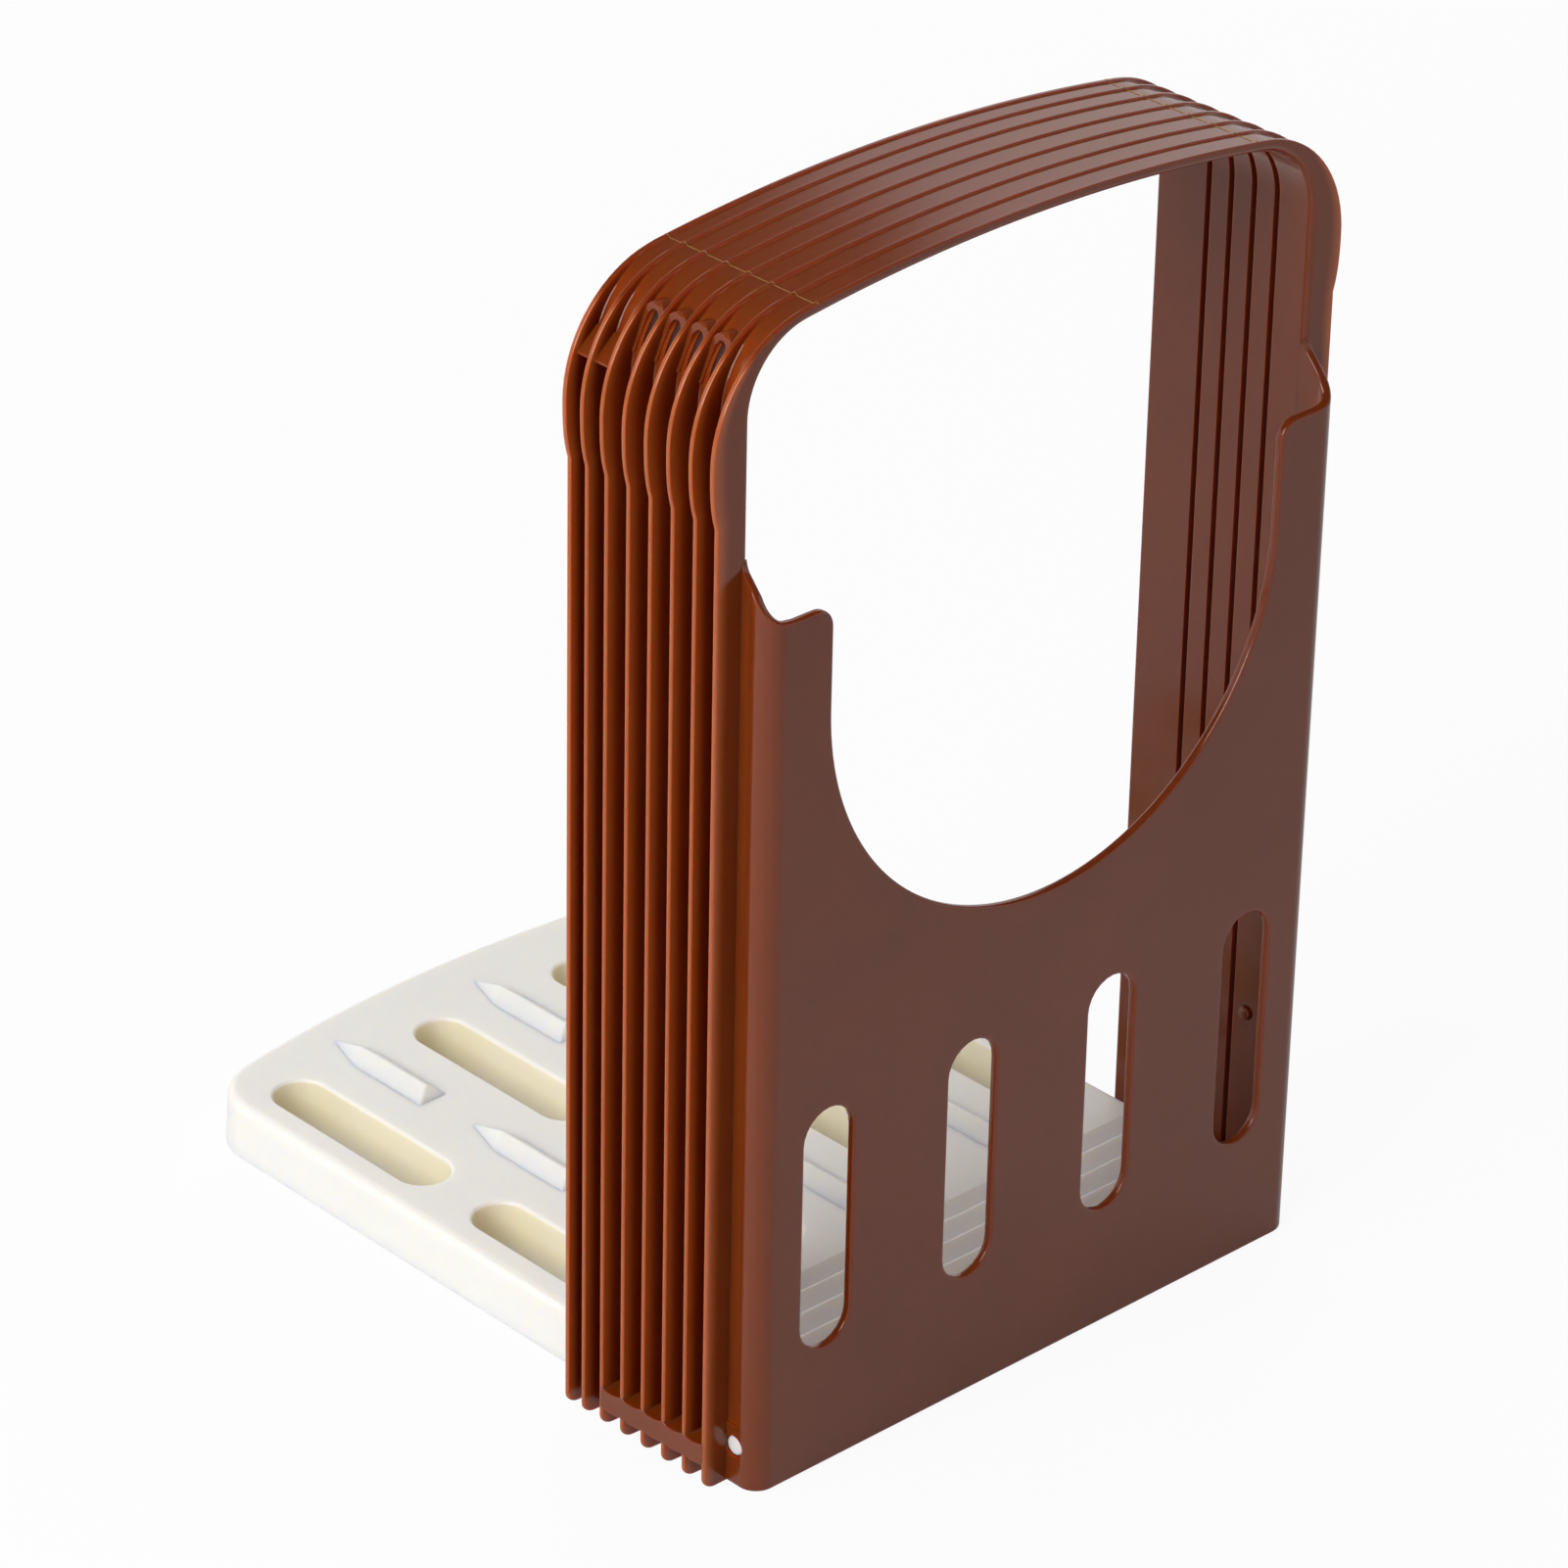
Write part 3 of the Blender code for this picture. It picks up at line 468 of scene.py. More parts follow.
# %% Curves of the arch
def arch_curves():
    """Right halves of three curves, point for point, and the points between which the slots lie.

    The curves are the loaf space, the wall's outside and the fins' edge.
    """
    fin_top = shoulder(FIN_HALF + BULGE, FIN_CORNER, ARCH_TOP, CROWN_RADIUS + ARCH_TOP - TUNNEL_TOP,
                       CORNER_STEPS, CROWN_STEPS)
    web_top = shoulder(OUTER_HALF, WEB_CORNER, WEB_TOP, CROWN_RADIUS + WEB_TOP - TUNNEL_TOP,
                       CORNER_STEPS, CROWN_STEPS)
    tunnel_top = shoulder(TUNNEL_HALF, TUNNEL_CORNER, TUNNEL_TOP, CROWN_RADIUS,
                          CORNER_STEPS, CROWN_STEPS)
    fin = arc((FIN_HALF - FIN_FOOT, FIN_FOOT), FIN_FOOT, -90, 0, FOOT_STEPS)
    fin += [(FIN_HALF, SLOT_LOW), (FIN_HALF, BULGE_START / 2)]
    straight = len(fin)
    for i in range(BULGE_STEPS):
        share = i / BULGE_STEPS
        fin.append((FIN_HALF + BULGE * (1 - (1 - share) ** 3),
                    BULGE_START + (fin_top[0][1] - BULGE_START) * share))

    def beside(half_width, top):
        heights = [v for u, v in fin[:straight]]
        heights += [BULGE_START + (top[0][1] - BULGE_START) * i / BULGE_STEPS
                    for i in range(BULGE_STEPS)]
        return [(half_width, v) for v in heights] + top

    slot_points = (FOOT_STEPS + 1, len(fin) + SLOT_CORNER_STEP)
    return beside(TUNNEL_HALF, tunnel_top), beside(OUTER_HALF, web_top), fin + fin_top, slot_points


def both_sides(half):
    """A whole curve from its right half, which ends on the centre line."""
    return [Vector(p) for p in half] + [Vector((-u, v)) for u, v in reversed(half[:-1])]


print(len(both_sides(arch_curves()[0])), "points round the arch")

# %% [markdown]
# The profile is listed from the front rim over all fins to the back rim, and returns along
# the loaf space. Each entry says which curve it is measured from, how far towards the next
# curve, where it is from front to back, and a shift along that way, which shrinks with the
# fin. Knife slots are simply left out of the skin and walled with faces between its outside
# and its inside.

# %% Profile of the arch
RIM_TURNS = (0, 15, 30, 45, 60, 75, 90)


def rim_rows(edge, size, inwards, degrees):
    """Round rim where the loaf space meets an end of the arch."""
    turns = [math.radians(a) for a in degrees]
    return [("tunnel", size * (1 - math.sin(t)), edge, inwards * size * (1 - math.cos(t))) for t in turns]


def root_rows(place, outwards, degrees):
    """Fillet between the wall and one face of a fin."""
    turns = [math.radians(a) for a in degrees]
    return [("web", ROOT_ROUND * (1 - math.cos(t)), place, outwards * ROOT_ROUND * (1 - math.sin(t)))
            for t in turns]


def edge_rows(place, inwards, degrees):
    """Round edge between the rim and one face of a fin."""
    turns = [math.radians(a) for a in degrees]
    return [("fin", EDGE_ROUND * (1 - math.sin(t)), place, inwards * EDGE_ROUND * (1 - math.cos(t)))
            for t in turns]


def fin_profile(middle, first, last):
    """Across one fin: root fillet, round edge and root fillet again; the end fins have one root."""
    rows = [] if first else root_rows(middle - FIN_ROOT, -1, QUARTER)
    rows += edge_rows(middle - (FIN_HALF_THICK if first else FIN_TIP), 1, QUARTER)
    rows += edge_rows(middle + (FIN_HALF_THICK if last else FIN_TIP), -1, QUARTER[::-1])
    return rows if last else rows + root_rows(middle + FIN_ROOT, 1, QUARTER[::-1])


def slot_rows(base, knife, first_side):
    """The two rows beside a knife slot, on the wall's outside or on its inside."""
    return [(base, 0, knife + first_side * SLOT_HALF, 0), (base, 0, knife - first_side * SLOT_HALF, 0)]


def arch_profile():
    """All rows of the moulding profile, and the row numbers beside each knife slot."""
    rows = rim_rows(ARCH_FRONT, FRONT_RIM, 1, RIM_TURNS[::-1])
    outside, inside = [], []
    for k, middle in enumerate(FIN_PLANES):
        rows += fin_profile(middle, k == 0, k == len(FIN_PLANES) - 1)
        if 1 <= k <= len(KNIFE_PLANES):
            outside.append((len(rows), len(rows) + 1))
            rows += slot_rows("web", KNIFE_PLANES[k - 1], -1)
    rows += rim_rows(ARCH_BACK, BACK_RIM, -1, QUARTER)
    for knife in reversed(KNIFE_PLANES):
        inside.insert(0, (len(rows) + 1, len(rows)))
        rows += slot_rows("tunnel", knife, 1)
    return rows, outside, inside


print(len(arch_profile()[0]), "rows in the profile")

# %% [markdown]
# Now the profile is set up at every point of the curves, ring by ring, and skinned with quads. The points
# of the fins' edges also get a mask for the painted glow, from 0 on the low ridges to 1 on the tall fins,
# which the brown plastic reads to paint its edges orange.

# %% Finned arch
def set_up(shape, curves, rows):
    """Points of the arch: one ring along the curves for each row of the profile."""
    tunnel, web, fin = curves
    glow_mask = shape.verts.layers.float.new("glow_mask")
    grid = []
    for base, distance, along, shift in rows:
        ring = []
        for inner, outer, tip in zip(tunnel, web, fin):
            depth = (tip - outer).length
            shrink = min(1, depth / (EDGE_ROUND + ROOT_ROUND))
            if base == "web":
                point = outer + (tip - outer).normalized() * distance * shrink
            elif base == "fin":
                point = tip - (tip - outer).normalized() * distance * shrink
            else:
                point = inner + (outer - inner).normalized() * distance
                shrink = 1
            vert = shape.verts.new((point.x, along + shift * shrink, point.y))
            # Mask for the painted glow: 0 on the low ridges, 1 on the tall fins, only on the fins' edges.
            height = (depth - LOW_FIN) / (FIN_HALF - OUTER_HALF - LOW_FIN)
            vert[glow_mask] = min(max(height, 0), 1) if base == "fin" else 0
            ring.append(vert)
        grid.append(ring)
    return grid


def skin(shape, grid, spans, holes):
    """Quads between the rings, left out in the spans of the rows that run along a slot."""
    for j, ring in enumerate(grid):
        following = grid[(j + 1) % len(grid)]
        for i in range(len(ring) - 1):
            if j in holes and any(low <= i < high for low, high in spans):
                continue
            shape.faces.new((ring[i], ring[i + 1], following[i + 1], following[i]))


def wall_slot(shape, grid, outer_rows, inner_rows, low, high):
    """Side and end walls of one knife slot between the skin's outside and its inside."""
    for outer_row, inner_row in zip(outer_rows, inner_rows):
        outer, inner = grid[outer_row], grid[inner_row]
        for i in range(low, high):
            shape.faces.new((outer[i], outer[i + 1], inner[i + 1], inner[i]))
    for i in (low, high):
        corners = [grid[outer_rows[0]][i], grid[outer_rows[1]][i]]
        corners += [grid[inner_rows[1]][i], grid[inner_rows[0]][i]]
        shape.faces.new(corners)


def finned_arch():
    tunnel, web, fin, (low_point, high_point) = arch_curves()
    curves = [both_sides(half) for half in (tunnel, web, fin)]
    rows, outside, inside = arch_profile()
    end = len(curves[0]) - 1
    shape = bmesh.new()
    grid = set_up(shape, curves, rows)
    spans = [(low_point, high_point), (end - high_point, end - low_point)]
    skin(shape, grid, spans, {pair[0] for pair in outside} | {pair[1] for pair in inside})
    for outer_rows, inner_rows in zip(outside, inside):
        for low, high in spans:
            wall_slot(shape, grid, outer_rows, inner_rows, low, high)
    for end_point in (0, -1):
        shape.faces.new([ring[end_point] for ring in grid])
    return object_from("finned_arch", shape, brown, "frame")


arch = finned_arch()
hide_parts("slicing_frame")

# %% [markdown]
# The rest is made with a few tools: a loft through outlines drawn in one of the three views,
# a plate, which is the plainest loft, and exact Boolean steps between closed shapes. Sharp
# edges are rounded afterwards, so a cut never has to meet a round edge that is almost
# parallel to it. Cutters reach a little past what they cut, so no thin skin is left.

# %% Tools for small solids
OVERCUT = 0.0050
THROUGH = 0.1000
FLAT_ENOUGH = math.radians(0.5)
PLACES = {"X": lambda u, v, along: (along, u, v), "Y": lambda u, v, along: (u, along, v),
          "Z": lambda u, v, along: (u, v, along)}


def loft(rings, axis):
    """Closed shape through outlines of equal length, each with its position along an axis."""
    shape = bmesh.new()
    loops = [[shape.verts.new(PLACES[axis](u, v, along)) for u, v in outline] for outline, along in rings]
    for lower, upper in zip(loops, loops[1:]):
        for i in range(len(lower)):
            shape.faces.new((lower[i - 1], lower[i], upper[i], upper[i - 1]))
    shape.faces.new(loops[0])
    shape.faces.new(loops[-1])
    bmesh.ops.recalc_face_normals(shape, faces=shape.faces)
    return shape


def solid(outline, near, far, axis, edge=0.0, segments=3):
    """Plate with an outline, between two positions along an axis, and with its edges rounded."""
    shape = loft([(outline, near), (outline, far)], axis)
    if edge:
        bmesh.ops.bevel(shape, geom=[e for e in shape.edges if e.calc_face_angle(0) > SMOOTH_ANGLE],
                        offset=edge, segments=segments, profile=0.5, affect="EDGES", clamp_overlap=True)
    return shape


def scratch(name, shape):
    """Plain object for a Boolean step, which is removed again."""
    bmesh.ops.recalc_face_normals(shape, faces=shape.faces)
    mesh = bpy.data.meshes.new(name)
    shape.to_mesh(mesh)
    shape.free()
    thing = bpy.data.objects.new(name, mesh)
    scene.collection.objects.link(thing)
    return thing


def boolean(base, steps):
    """Cut, join or keep common parts with other shapes one after another; gives a bmesh."""
    thing = scratch("base", base)
    tools = []
    for operation, shape in steps:
        tool = scratch("tool", shape)
        tools.append(tool)
        modifier = thing.modifiers.new("step", "BOOLEAN")
        modifier.operation = operation
        modifier.solver = "EXACT"
        modifier.object = tool
    bpy.context.view_layer.update()
    mesh = bpy.data.meshes.new_from_object(thing.evaluated_get(bpy.context.evaluated_depsgraph_get()))
    result = bmesh.new()
    result.from_mesh(mesh)
    bpy.data.meshes.remove(mesh)
    for spare in tools + [thing]:
        data = spare.data
        bpy.data.objects.remove(spare)
        bpy.data.meshes.remove(data)
    return result


def round_edges(shape, edge, angle=SMOOTH_ANGLE, segments=3):
    """Merge flat neighbours, then round every edge that turns by more than an angle."""
    bmesh.ops.dissolve_limit(shape, angle_limit=FLAT_ENOUGH, verts=shape.verts, edges=shape.edges)
    sharp = [e for e in shape.edges if len(e.link_faces) == 2 and e.calc_face_angle(0) > angle]
    bmesh.ops.bevel(shape, geom=sharp, offset=edge, segments=segments, profile=0.5,
                    affect="EDGES", clamp_overlap=True)
    return shape


# %% [markdown]
# The end panel and the two cheeks are one sheet of even thickness. It is easiest to draw it
# rolled out flat, with its slots, the hand cut and the ears, and with a round edge all over.
# Then the sheet is bent round the two corners, as a sheet-metal worker would do it, so every
# edge stays as round as it was drawn. The pivot holes are drilled last.

# %% Flat sheets with round edges
def sheet_of(outlines, thickness, edge, resolution=3):
    """Flat sheet from an outline and its holes, with all edges rounded, as a bmesh at z from 0 down."""
    curve = bpy.data.curves.new("sheet", "CURVE")
    curve.dimensions = "2D"
    curve.fill_mode = "BOTH"
    curve.offset = -edge
    curve.extrude = thickness / 2 - edge
    curve.bevel_depth = edge
    curve.bevel_resolution = resolution
    for outline in outlines:
        spline = curve.splines.new("POLY")
        spline.points.add(len(outline) - 1)
        for point, (u, v) in zip(spline.points, outline):
            point.co = (u, v, 0, 1)
        spline.use_cyclic_u = True
    drawn = bpy.data.objects.new("sheet", curve)
    scene.collection.objects.link(drawn)
    bpy.context.view_layer.update()
    mesh = bpy.data.meshes.new_from_object(drawn.evaluated_get(bpy.context.evaluated_depsgraph_get()))
    shape = bmesh.new()
    shape.from_mesh(mesh)
    bmesh.ops.remove_doubles(shape, verts=shape.verts, dist=WELD)
    bpy.data.meshes.remove(mesh)
    bpy.data.objects.remove(drawn)
    bpy.data.curves.remove(curve)
    return shape


# %% [markdown]
# Measured along the outside of the sheet, the flat front comes first, then a quarter turn,
# then the short cheek that runs into the first fin. The slope of the cheek is drawn in the
# side view, so its height is looked up where each point of the sheet ends after bending.

# %% Sizes of the panel
PANEL_THICK = 0.0020
PANEL_EDGE = 0.0007
BEND = 0.0043
FLAT_HALF = OUTER_HALF - BEND
BEND_LENGTH = BEND * math.pi / 2
CHEEK_END = FRONT + 0.0106
CHEEK_INSET, CHEEK_TUCK = 0.00003, 0.0025
CHEEK_SLOPE, CHEEK_BLEND, CHEEK_LIP, CHEEK_STEPS = 47.5, 0.0040, 0.0003, 14
PAD_TOP, RELIEF, RELIEF_START, RELIEF_SLANT = 0.0133, 0.0004, 0.0047, 0.0010
EAR_TOP, EAR_ROUND, EAR_NOTCH, EAR_START = 0.1815, 0.0040, 0.0025, 0.0006
CUT_RADIUS, CUT_CENTRE = 0.0570, 0.1605
PANEL_SLOT_PITCH, PANEL_SLOT_WIDTH = 0.0368, 0.0123
PANEL_SLOT_LOW, PANEL_SLOT_HIGH = 0.0264, 0.0780
PIVOT_Y, PIVOT_Z, HOLE_RADIUS, HOLE_STEPS = FRONT + 0.0060, 0.0086, 0.0023, 48
print("flat front", round(2000 * FLAT_HALF, 1), "mm wide, pivot at", round(PIVOT_Y, 4), PIVOT_Z)


# %% Outline and bend of the panel
def bent(s, depth):
    """Where a point of the flat sheet goes: distance along the outside, and depth into it."""
    side = 1 if s > 0 else -1
    run = abs(s) - FLAT_HALF
    if run <= 0:
        return s, FRONT + depth
    if run < BEND_LENGTH:
        turn = run / BEND
        return (side * (FLAT_HALF + (BEND - depth) * math.sin(turn)),
                FRONT + BEND - (BEND - depth) * math.cos(turn))
    y = FRONT + BEND + run - BEND_LENGTH
    if y > ARCH_FRONT + WELD:
        depth = min(max(depth, CHEEK_INSET), PANEL_THICK - CHEEK_INSET)
    return side * (OUTER_HALF - depth), y


def unrolled(y):
    """Distance along the sheet's outside at which a place on the cheek lies."""
    return FLAT_HALF + BEND_LENGTH + y - FRONT - BEND


def panel_outline():
    """Right half of the flat sheet: foot, cheek edge, blend, slope, ear and hand cut."""
    slope = math.tan(math.radians(CHEEK_SLOPE))
    start = EAR_TOP + CHEEK_LIP
    corner = start + (ARCH_FRONT - FRONT) * slope
    reach = CHEEK_BLEND * math.tan(math.radians(90 - CHEEK_SLOPE) / 2)
    blend = arc((ARCH_FRONT - CHEEK_BLEND, corner + reach), CHEEK_BLEND, CHEEK_SLOPE - 90, 0, 8)
    half = [(unrolled(CHEEK_END), 0), (unrolled(CHEEK_END), blend[-1][1] - CHEEK_TUCK)]
    half += [(unrolled(y), z) for y, z in reversed(blend)]
    notch = OUTER_HALF - BEND + EAR_NOTCH / 4
    last = unrolled(blend[0][0])
    first = FLAT_HALF - EAR_START
    for i in range(1, CHEEK_STEPS):
        s = last + (first - last) * i / CHEEK_STEPS
        x, y = bent(s, 0)
        z = start + (y - FRONT) * slope
        if x < notch:
            z = min(z, EAR_TOP + EAR_NOTCH - math.sqrt(EAR_NOTCH ** 2 - (x - notch + EAR_NOTCH) ** 2))
        half.append((s, z))
    half.append((notch - EAR_NOTCH, EAR_TOP))
    half += arc((CUT_RADIUS + EAR_ROUND, EAR_TOP - EAR_ROUND), EAR_ROUND, 90, 180, 10)
    half += arc((0, CUT_CENTRE), CUT_RADIUS, 0, -90, 40)
    return half


# %% End panel
BEND_CUTS = 12


def relief_cutter(side):
    """Takes a shaving off the cheek above its pivot pad, with a slanted start."""
    start = FRONT + RELIEF_START
    end = CHEEK_END + PANEL_THICK
    plan = [(OUTER_HALF + RELIEF, start - RELIEF_SLANT), (OUTER_HALF + RELIEF, end),
            (OUTER_HALF - RELIEF, end), (OUTER_HALF - RELIEF, start + RELIEF_SLANT)]
    return solid([(side * u, v) for u, v in plan], PAD_TOP, TUNNEL_TOP, "Z")


def hole_cutter(side):
    """Drill for the pivot hole of one cheek."""
    circle = arc((PIVOT_Y, PIVOT_Z), HOLE_RADIUS, 0, 360 - 360 / HOLE_STEPS, HOLE_STEPS - 1)
    near, far = TUNNEL_HALF - 2 * PANEL_THICK, OUTER_HALF + 2 * PANEL_THICK
    return solid(circle, side * near, side * far, "X")


def end_panel():
    """Draw the sheet, cut it into strips where it bends, bend it, then drill and shave it."""
    half = panel_outline()
    outlines = [half + [(-s, z) for s, z in reversed(half) if s > WELD]]
    for number in range(4):
        centre = (number - 1.5) * PANEL_SLOT_PITCH
        outlines.append(obround(centre, PANEL_SLOT_WIDTH, PANEL_SLOT_LOW, PANEL_SLOT_HIGH))
    shape = sheet_of(outlines, PANEL_THICK, PANEL_EDGE)
    face = unrolled(ARCH_FRONT)
    lines = [FLAT_HALF + BEND_LENGTH * i / BEND_CUTS for i in range(BEND_CUTS + 1)]
    lines += [face, face + CHEEK_INSET]
    for line in [-distance for distance in lines] + lines:
        bmesh.ops.bisect_plane(shape, geom=shape.verts[:] + shape.edges[:] + shape.faces[:],
                               dist=WELD, plane_co=(line, 0, 0), plane_no=(1, 0, 0))
    for vert in shape.verts:
        x, y = bent(vert.co.x, PANEL_THICK / 2 - vert.co.z)
        vert.co = (x, y, vert.co.y)
    cutters = [cutter(side) for side in (-1, 1) for cutter in (hole_cutter, relief_cutter)]
    shape = boolean(shape, [("DIFFERENCE", cutter) for cutter in cutters])
    return object_from("end_panel", shape, brown, "frame")


panel = end_panel()
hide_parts("slicing_frame")

# %% [markdown]
# The small forms are plates with soft edges, set a little into what carries them: the cross
# bars low on the sides, the two gussets at the rear shoulders and the nubs inside the walls
# that hold the folded tray.

# %% Cross bars, gussets and nubs
SEAT = 0.0006
BAR_FRONT_TOP, BAR_HEIGHT, BAR_TILT = 0.0095, 0.0040, 2.6
BAR_WAVE, BAR_WAVE_STEPS, BAR_PROUD, BAR_SOFT = 0.0009, 12, 0.0001, 0.0003
GUSSET_LOW, GUSSET_RISE, GUSSET_EDGE = 0.2196, 0.0044, 0.0004
GUSSET_BACK, GUSSET_SOFT = 0.0014, 0.0001
NUB = Vector((TUNNEL_HALF, FRONT + 0.0129, 0.0443))
NUB_RISE, NUB_RADIUS = 0.0012, 0.0016


def cross_bar(side, word):
    """Bar across the first six fins, which falls a little to the back and is wavy between fins."""
    near, far = FIN_PLANES[0], FIN_PLANES[5]
    fall = (far - near) * math.tan(math.radians(BAR_TILT))
    lower, upper = [], []
    for first, second in zip(FIN_PLANES[:5], FIN_PLANES[1:6]):
        for i in range(BAR_WAVE_STEPS):
            share = i / BAR_WAVE_STEPS
            y = first + (second - first) * share
            level = BAR_FRONT_TOP - fall * (y - near) / (far - near)
            dip = BAR_WAVE * math.sqrt(math.sin(math.pi * share))
            upper.append((y, level + BAR_WAVE - dip))
            lower.append((y, level - BAR_HEIGHT - dip / 2))
    lower.append((far, BAR_FRONT_TOP - fall - BAR_HEIGHT))
    upper.append((far, BAR_FRONT_TOP - fall + BAR_WAVE))
    outline = lower + upper[::-1]
    shape = solid(outline, side * (OUTER_HALF - SEAT), side * (FIN_HALF + BAR_PROUD), "X", BAR_SOFT)
    return object_from(f"cross_bar_{word}", shape, brown, "frame")


def gusset(side, word):
    """Small web that joins the last three fins at the shoulder."""
    inner, outer = side * (OUTER_HALF - SEAT), side * (FIN_HALF - GUSSET_BACK)
    outline = [(inner, GUSSET_LOW), (outer, GUSSET_LOW),
               (outer, GUSSET_LOW + GUSSET_EDGE), (inner, GUSSET_LOW + GUSSET_RISE)]
    shape = solid(outline, FIN_PLANES[5], FIN_PLANES[7], "Y", GUSSET_SOFT, 2)
    return object_from(f"gusset_{word}", shape, brown, "frame")


def snap_nub(side, word):
    """Low round nub on the inside of the wall."""
    shape = bmesh.new()
    place = Matrix.Translation((side * NUB.x, NUB.y, NUB.z))
    bmesh.ops.create_uvsphere(shape, u_segments=32, v_segments=16, radius=1,
                              matrix=place @ Matrix.Diagonal((NUB_RISE, NUB_RADIUS, NUB_RADIUS, 1)))
    return object_from(f"snap_nub_{word}", shape, brown, "frame")


for side, word in SIDES:
    for make in (cross_bar, gusset, snap_nub):
        make(side, word)

# %% [markdown]
# A hood is a raised lip between two fins, above the upper end of each knife slot. Its pocket
# is wide at the mouth and narrows to the slot, as a moulding core with draft leaves it. The
# lip ends just inside the fins' edges and its legs sink into the wall further down.

# %% Slot hoods
HOOD_RIM, HOOD_LENGTH, HOOD_MOUTH = 0.0013, 0.0090, 0.0038
HOOD_SINK, HOOD_SOFT, HOOD_STEPS = 0.0008, 0.00035, 6
SLOT_TOP = WEB_TOP - 0.0092
SLICE_STEP = 0.0058


def corner_height(half_width, corner_radius, top):
    """Height at which the straight side ends and the corner of an arch curve starts."""
    return shoulder(half_width, corner_radius, top, CROWN_RADIUS, 4, 4)[0][1]


def hood_outline(low, top):
    """Front view of the hood: a wedge between the wall and the lip, whose end is returned too."""
    web_corner = corner_height(OUTER_HALF, WEB_CORNER, WEB_TOP)
    fin_corner = corner_height(FIN_HALF + BULGE, FIN_CORNER, ARCH_TOP)
    lip_height = top - HOOD_RIM / 2
    lip = FIN_HALF + BULGE - FIN_CORNER
    lip += math.sqrt(FIN_CORNER ** 2 - (lip_height - fin_corner) ** 2) - HOOD_RIM / 4
    outline = [(OUTER_HALF, low), (lip, lip_height), (lip - HOOD_RIM / 2, top)]
    for i in range(HOOD_STEPS, -1, -1):
        height = low + (top - low) * i / HOOD_STEPS
        reach = math.sqrt((WEB_CORNER - HOOD_SINK) ** 2 - (height - web_corner) ** 2)
        outline.append((OUTER_HALF - WEB_CORNER + reach, height))
    return outline, lip


def slot_hood(number, middle, side, word):
    top = SLOT_TOP + HOOD_RIM
    low = top - HOOD_LENGTH
    outline, lip = hood_outline(low, top)
    wall = outline[3][0]
    wedge = solid([(side * u, v) for u, v in outline], middle - SLICE_STEP, middle + SLICE_STEP, "Y")
    view = obround(middle, SLICE_STEP - FIN_HALF_THICK, low - SLICE_STEP, top, 20)
    gap = solid(view, -THROUGH, THROUGH, "X")
    narrow = obround(middle, SLOT_HALF, low - SLICE_STEP, SLOT_TOP, 16)
    wide = obround(middle, HOOD_MOUTH, low - SLICE_STEP, SLOT_TOP, 16)
    pocket = loft([(narrow, side * (wall - OVERCUT)), (wide, side * (lip + OVERCUT))], "X")
    knife = solid(obround(middle, 2 * SLOT_HALF, SLOT_LOW, SLOT_TOP, 12), -THROUGH, THROUGH, "X")
    shape = boolean(wedge, [("INTERSECT", gap), ("DIFFERENCE", pocket), ("DIFFERENCE", knife)])
    shape = round_edges(shape, HOOD_SOFT, segments=4)
    return object_from(f"slot_hood_{number}_{word}", shape, brown, "frame")


for number, middle in enumerate(KNIFE_PLANES):
    for side, word in SIDES:
        slot_hood(number + 1, middle, side, word)

# %% [markdown]
# Where the two halves of the mould meet, a hair-fine line of plastic stays over the crown,
# across all fins. It is a small thing, but it says at once that this is a moulding.

# %% Parting lines
PARTING_X, PARTING_RISE, PARTING_HALF = 0.0550, 0.00012, 0.00015


def height_at(curve, x):
    """Height of the upper part of a half curve at a distance from the centre line."""
    for (u0, v0), (u1, v1) in zip(curve, curve[1:]):
        if u0 >= x >= u1 and v0 > ARCH_TOP / 2:
            return v0 + (v1 - v0) * (u0 - x) / (u0 - u1)


def parting_line(side, word):
    """Three-sided bead across the crown, which follows every fin of the profile."""
    web, fin = arch_curves()[1:3]
    places = {"web": height_at(web, PARTING_X), "fin": height_at(fin, PARTING_X)}
    depth = places["fin"] - places["web"]
    shrink = min(1, depth / (EDGE_ROUND + ROOT_ROUND))
    shape = bmesh.new()
    glow_mask = shape.verts.layers.float.new("glow_mask")
    rings = []
    for base, distance, along, shift in arch_profile()[0]:
        if base == "tunnel":
            continue
        z = places[base] + distance * shrink * (1 if base == "web" else -1)
        y = along + shift * shrink
        x = side * PARTING_X
        rings.append([shape.verts.new(p) for p in ((x - PARTING_HALF, y, z - PARTING_RISE),
                                                   (x, y, z + PARTING_RISE),
                                                   (x + PARTING_HALF, y, z - PARTING_RISE))])
        # The whole bead gets the full painted glow, so it shows as a light line.
        for vert in rings[-1]:
            vert[glow_mask] = 1
    for ring, following in zip(rings, rings[1:]):
        for i in range(3):
            shape.faces.new((ring[i - 1], ring[i], following[i], following[i - 1]))
    shape.faces.new(rings[0])
    shape.faces.new(rings[-1])
    return object_from(f"parting_line_{word}", shape, brown, "frame")


for side, word in SIDES:
    parting_line(side, word)

# %% [markdown]
# The tray is a shallow box, open underneath, with a round top edge and a little draft on its
# sides. The cutters for its slots flare out at the top, so each slot gets a round rim in the
# same step that cuts it.

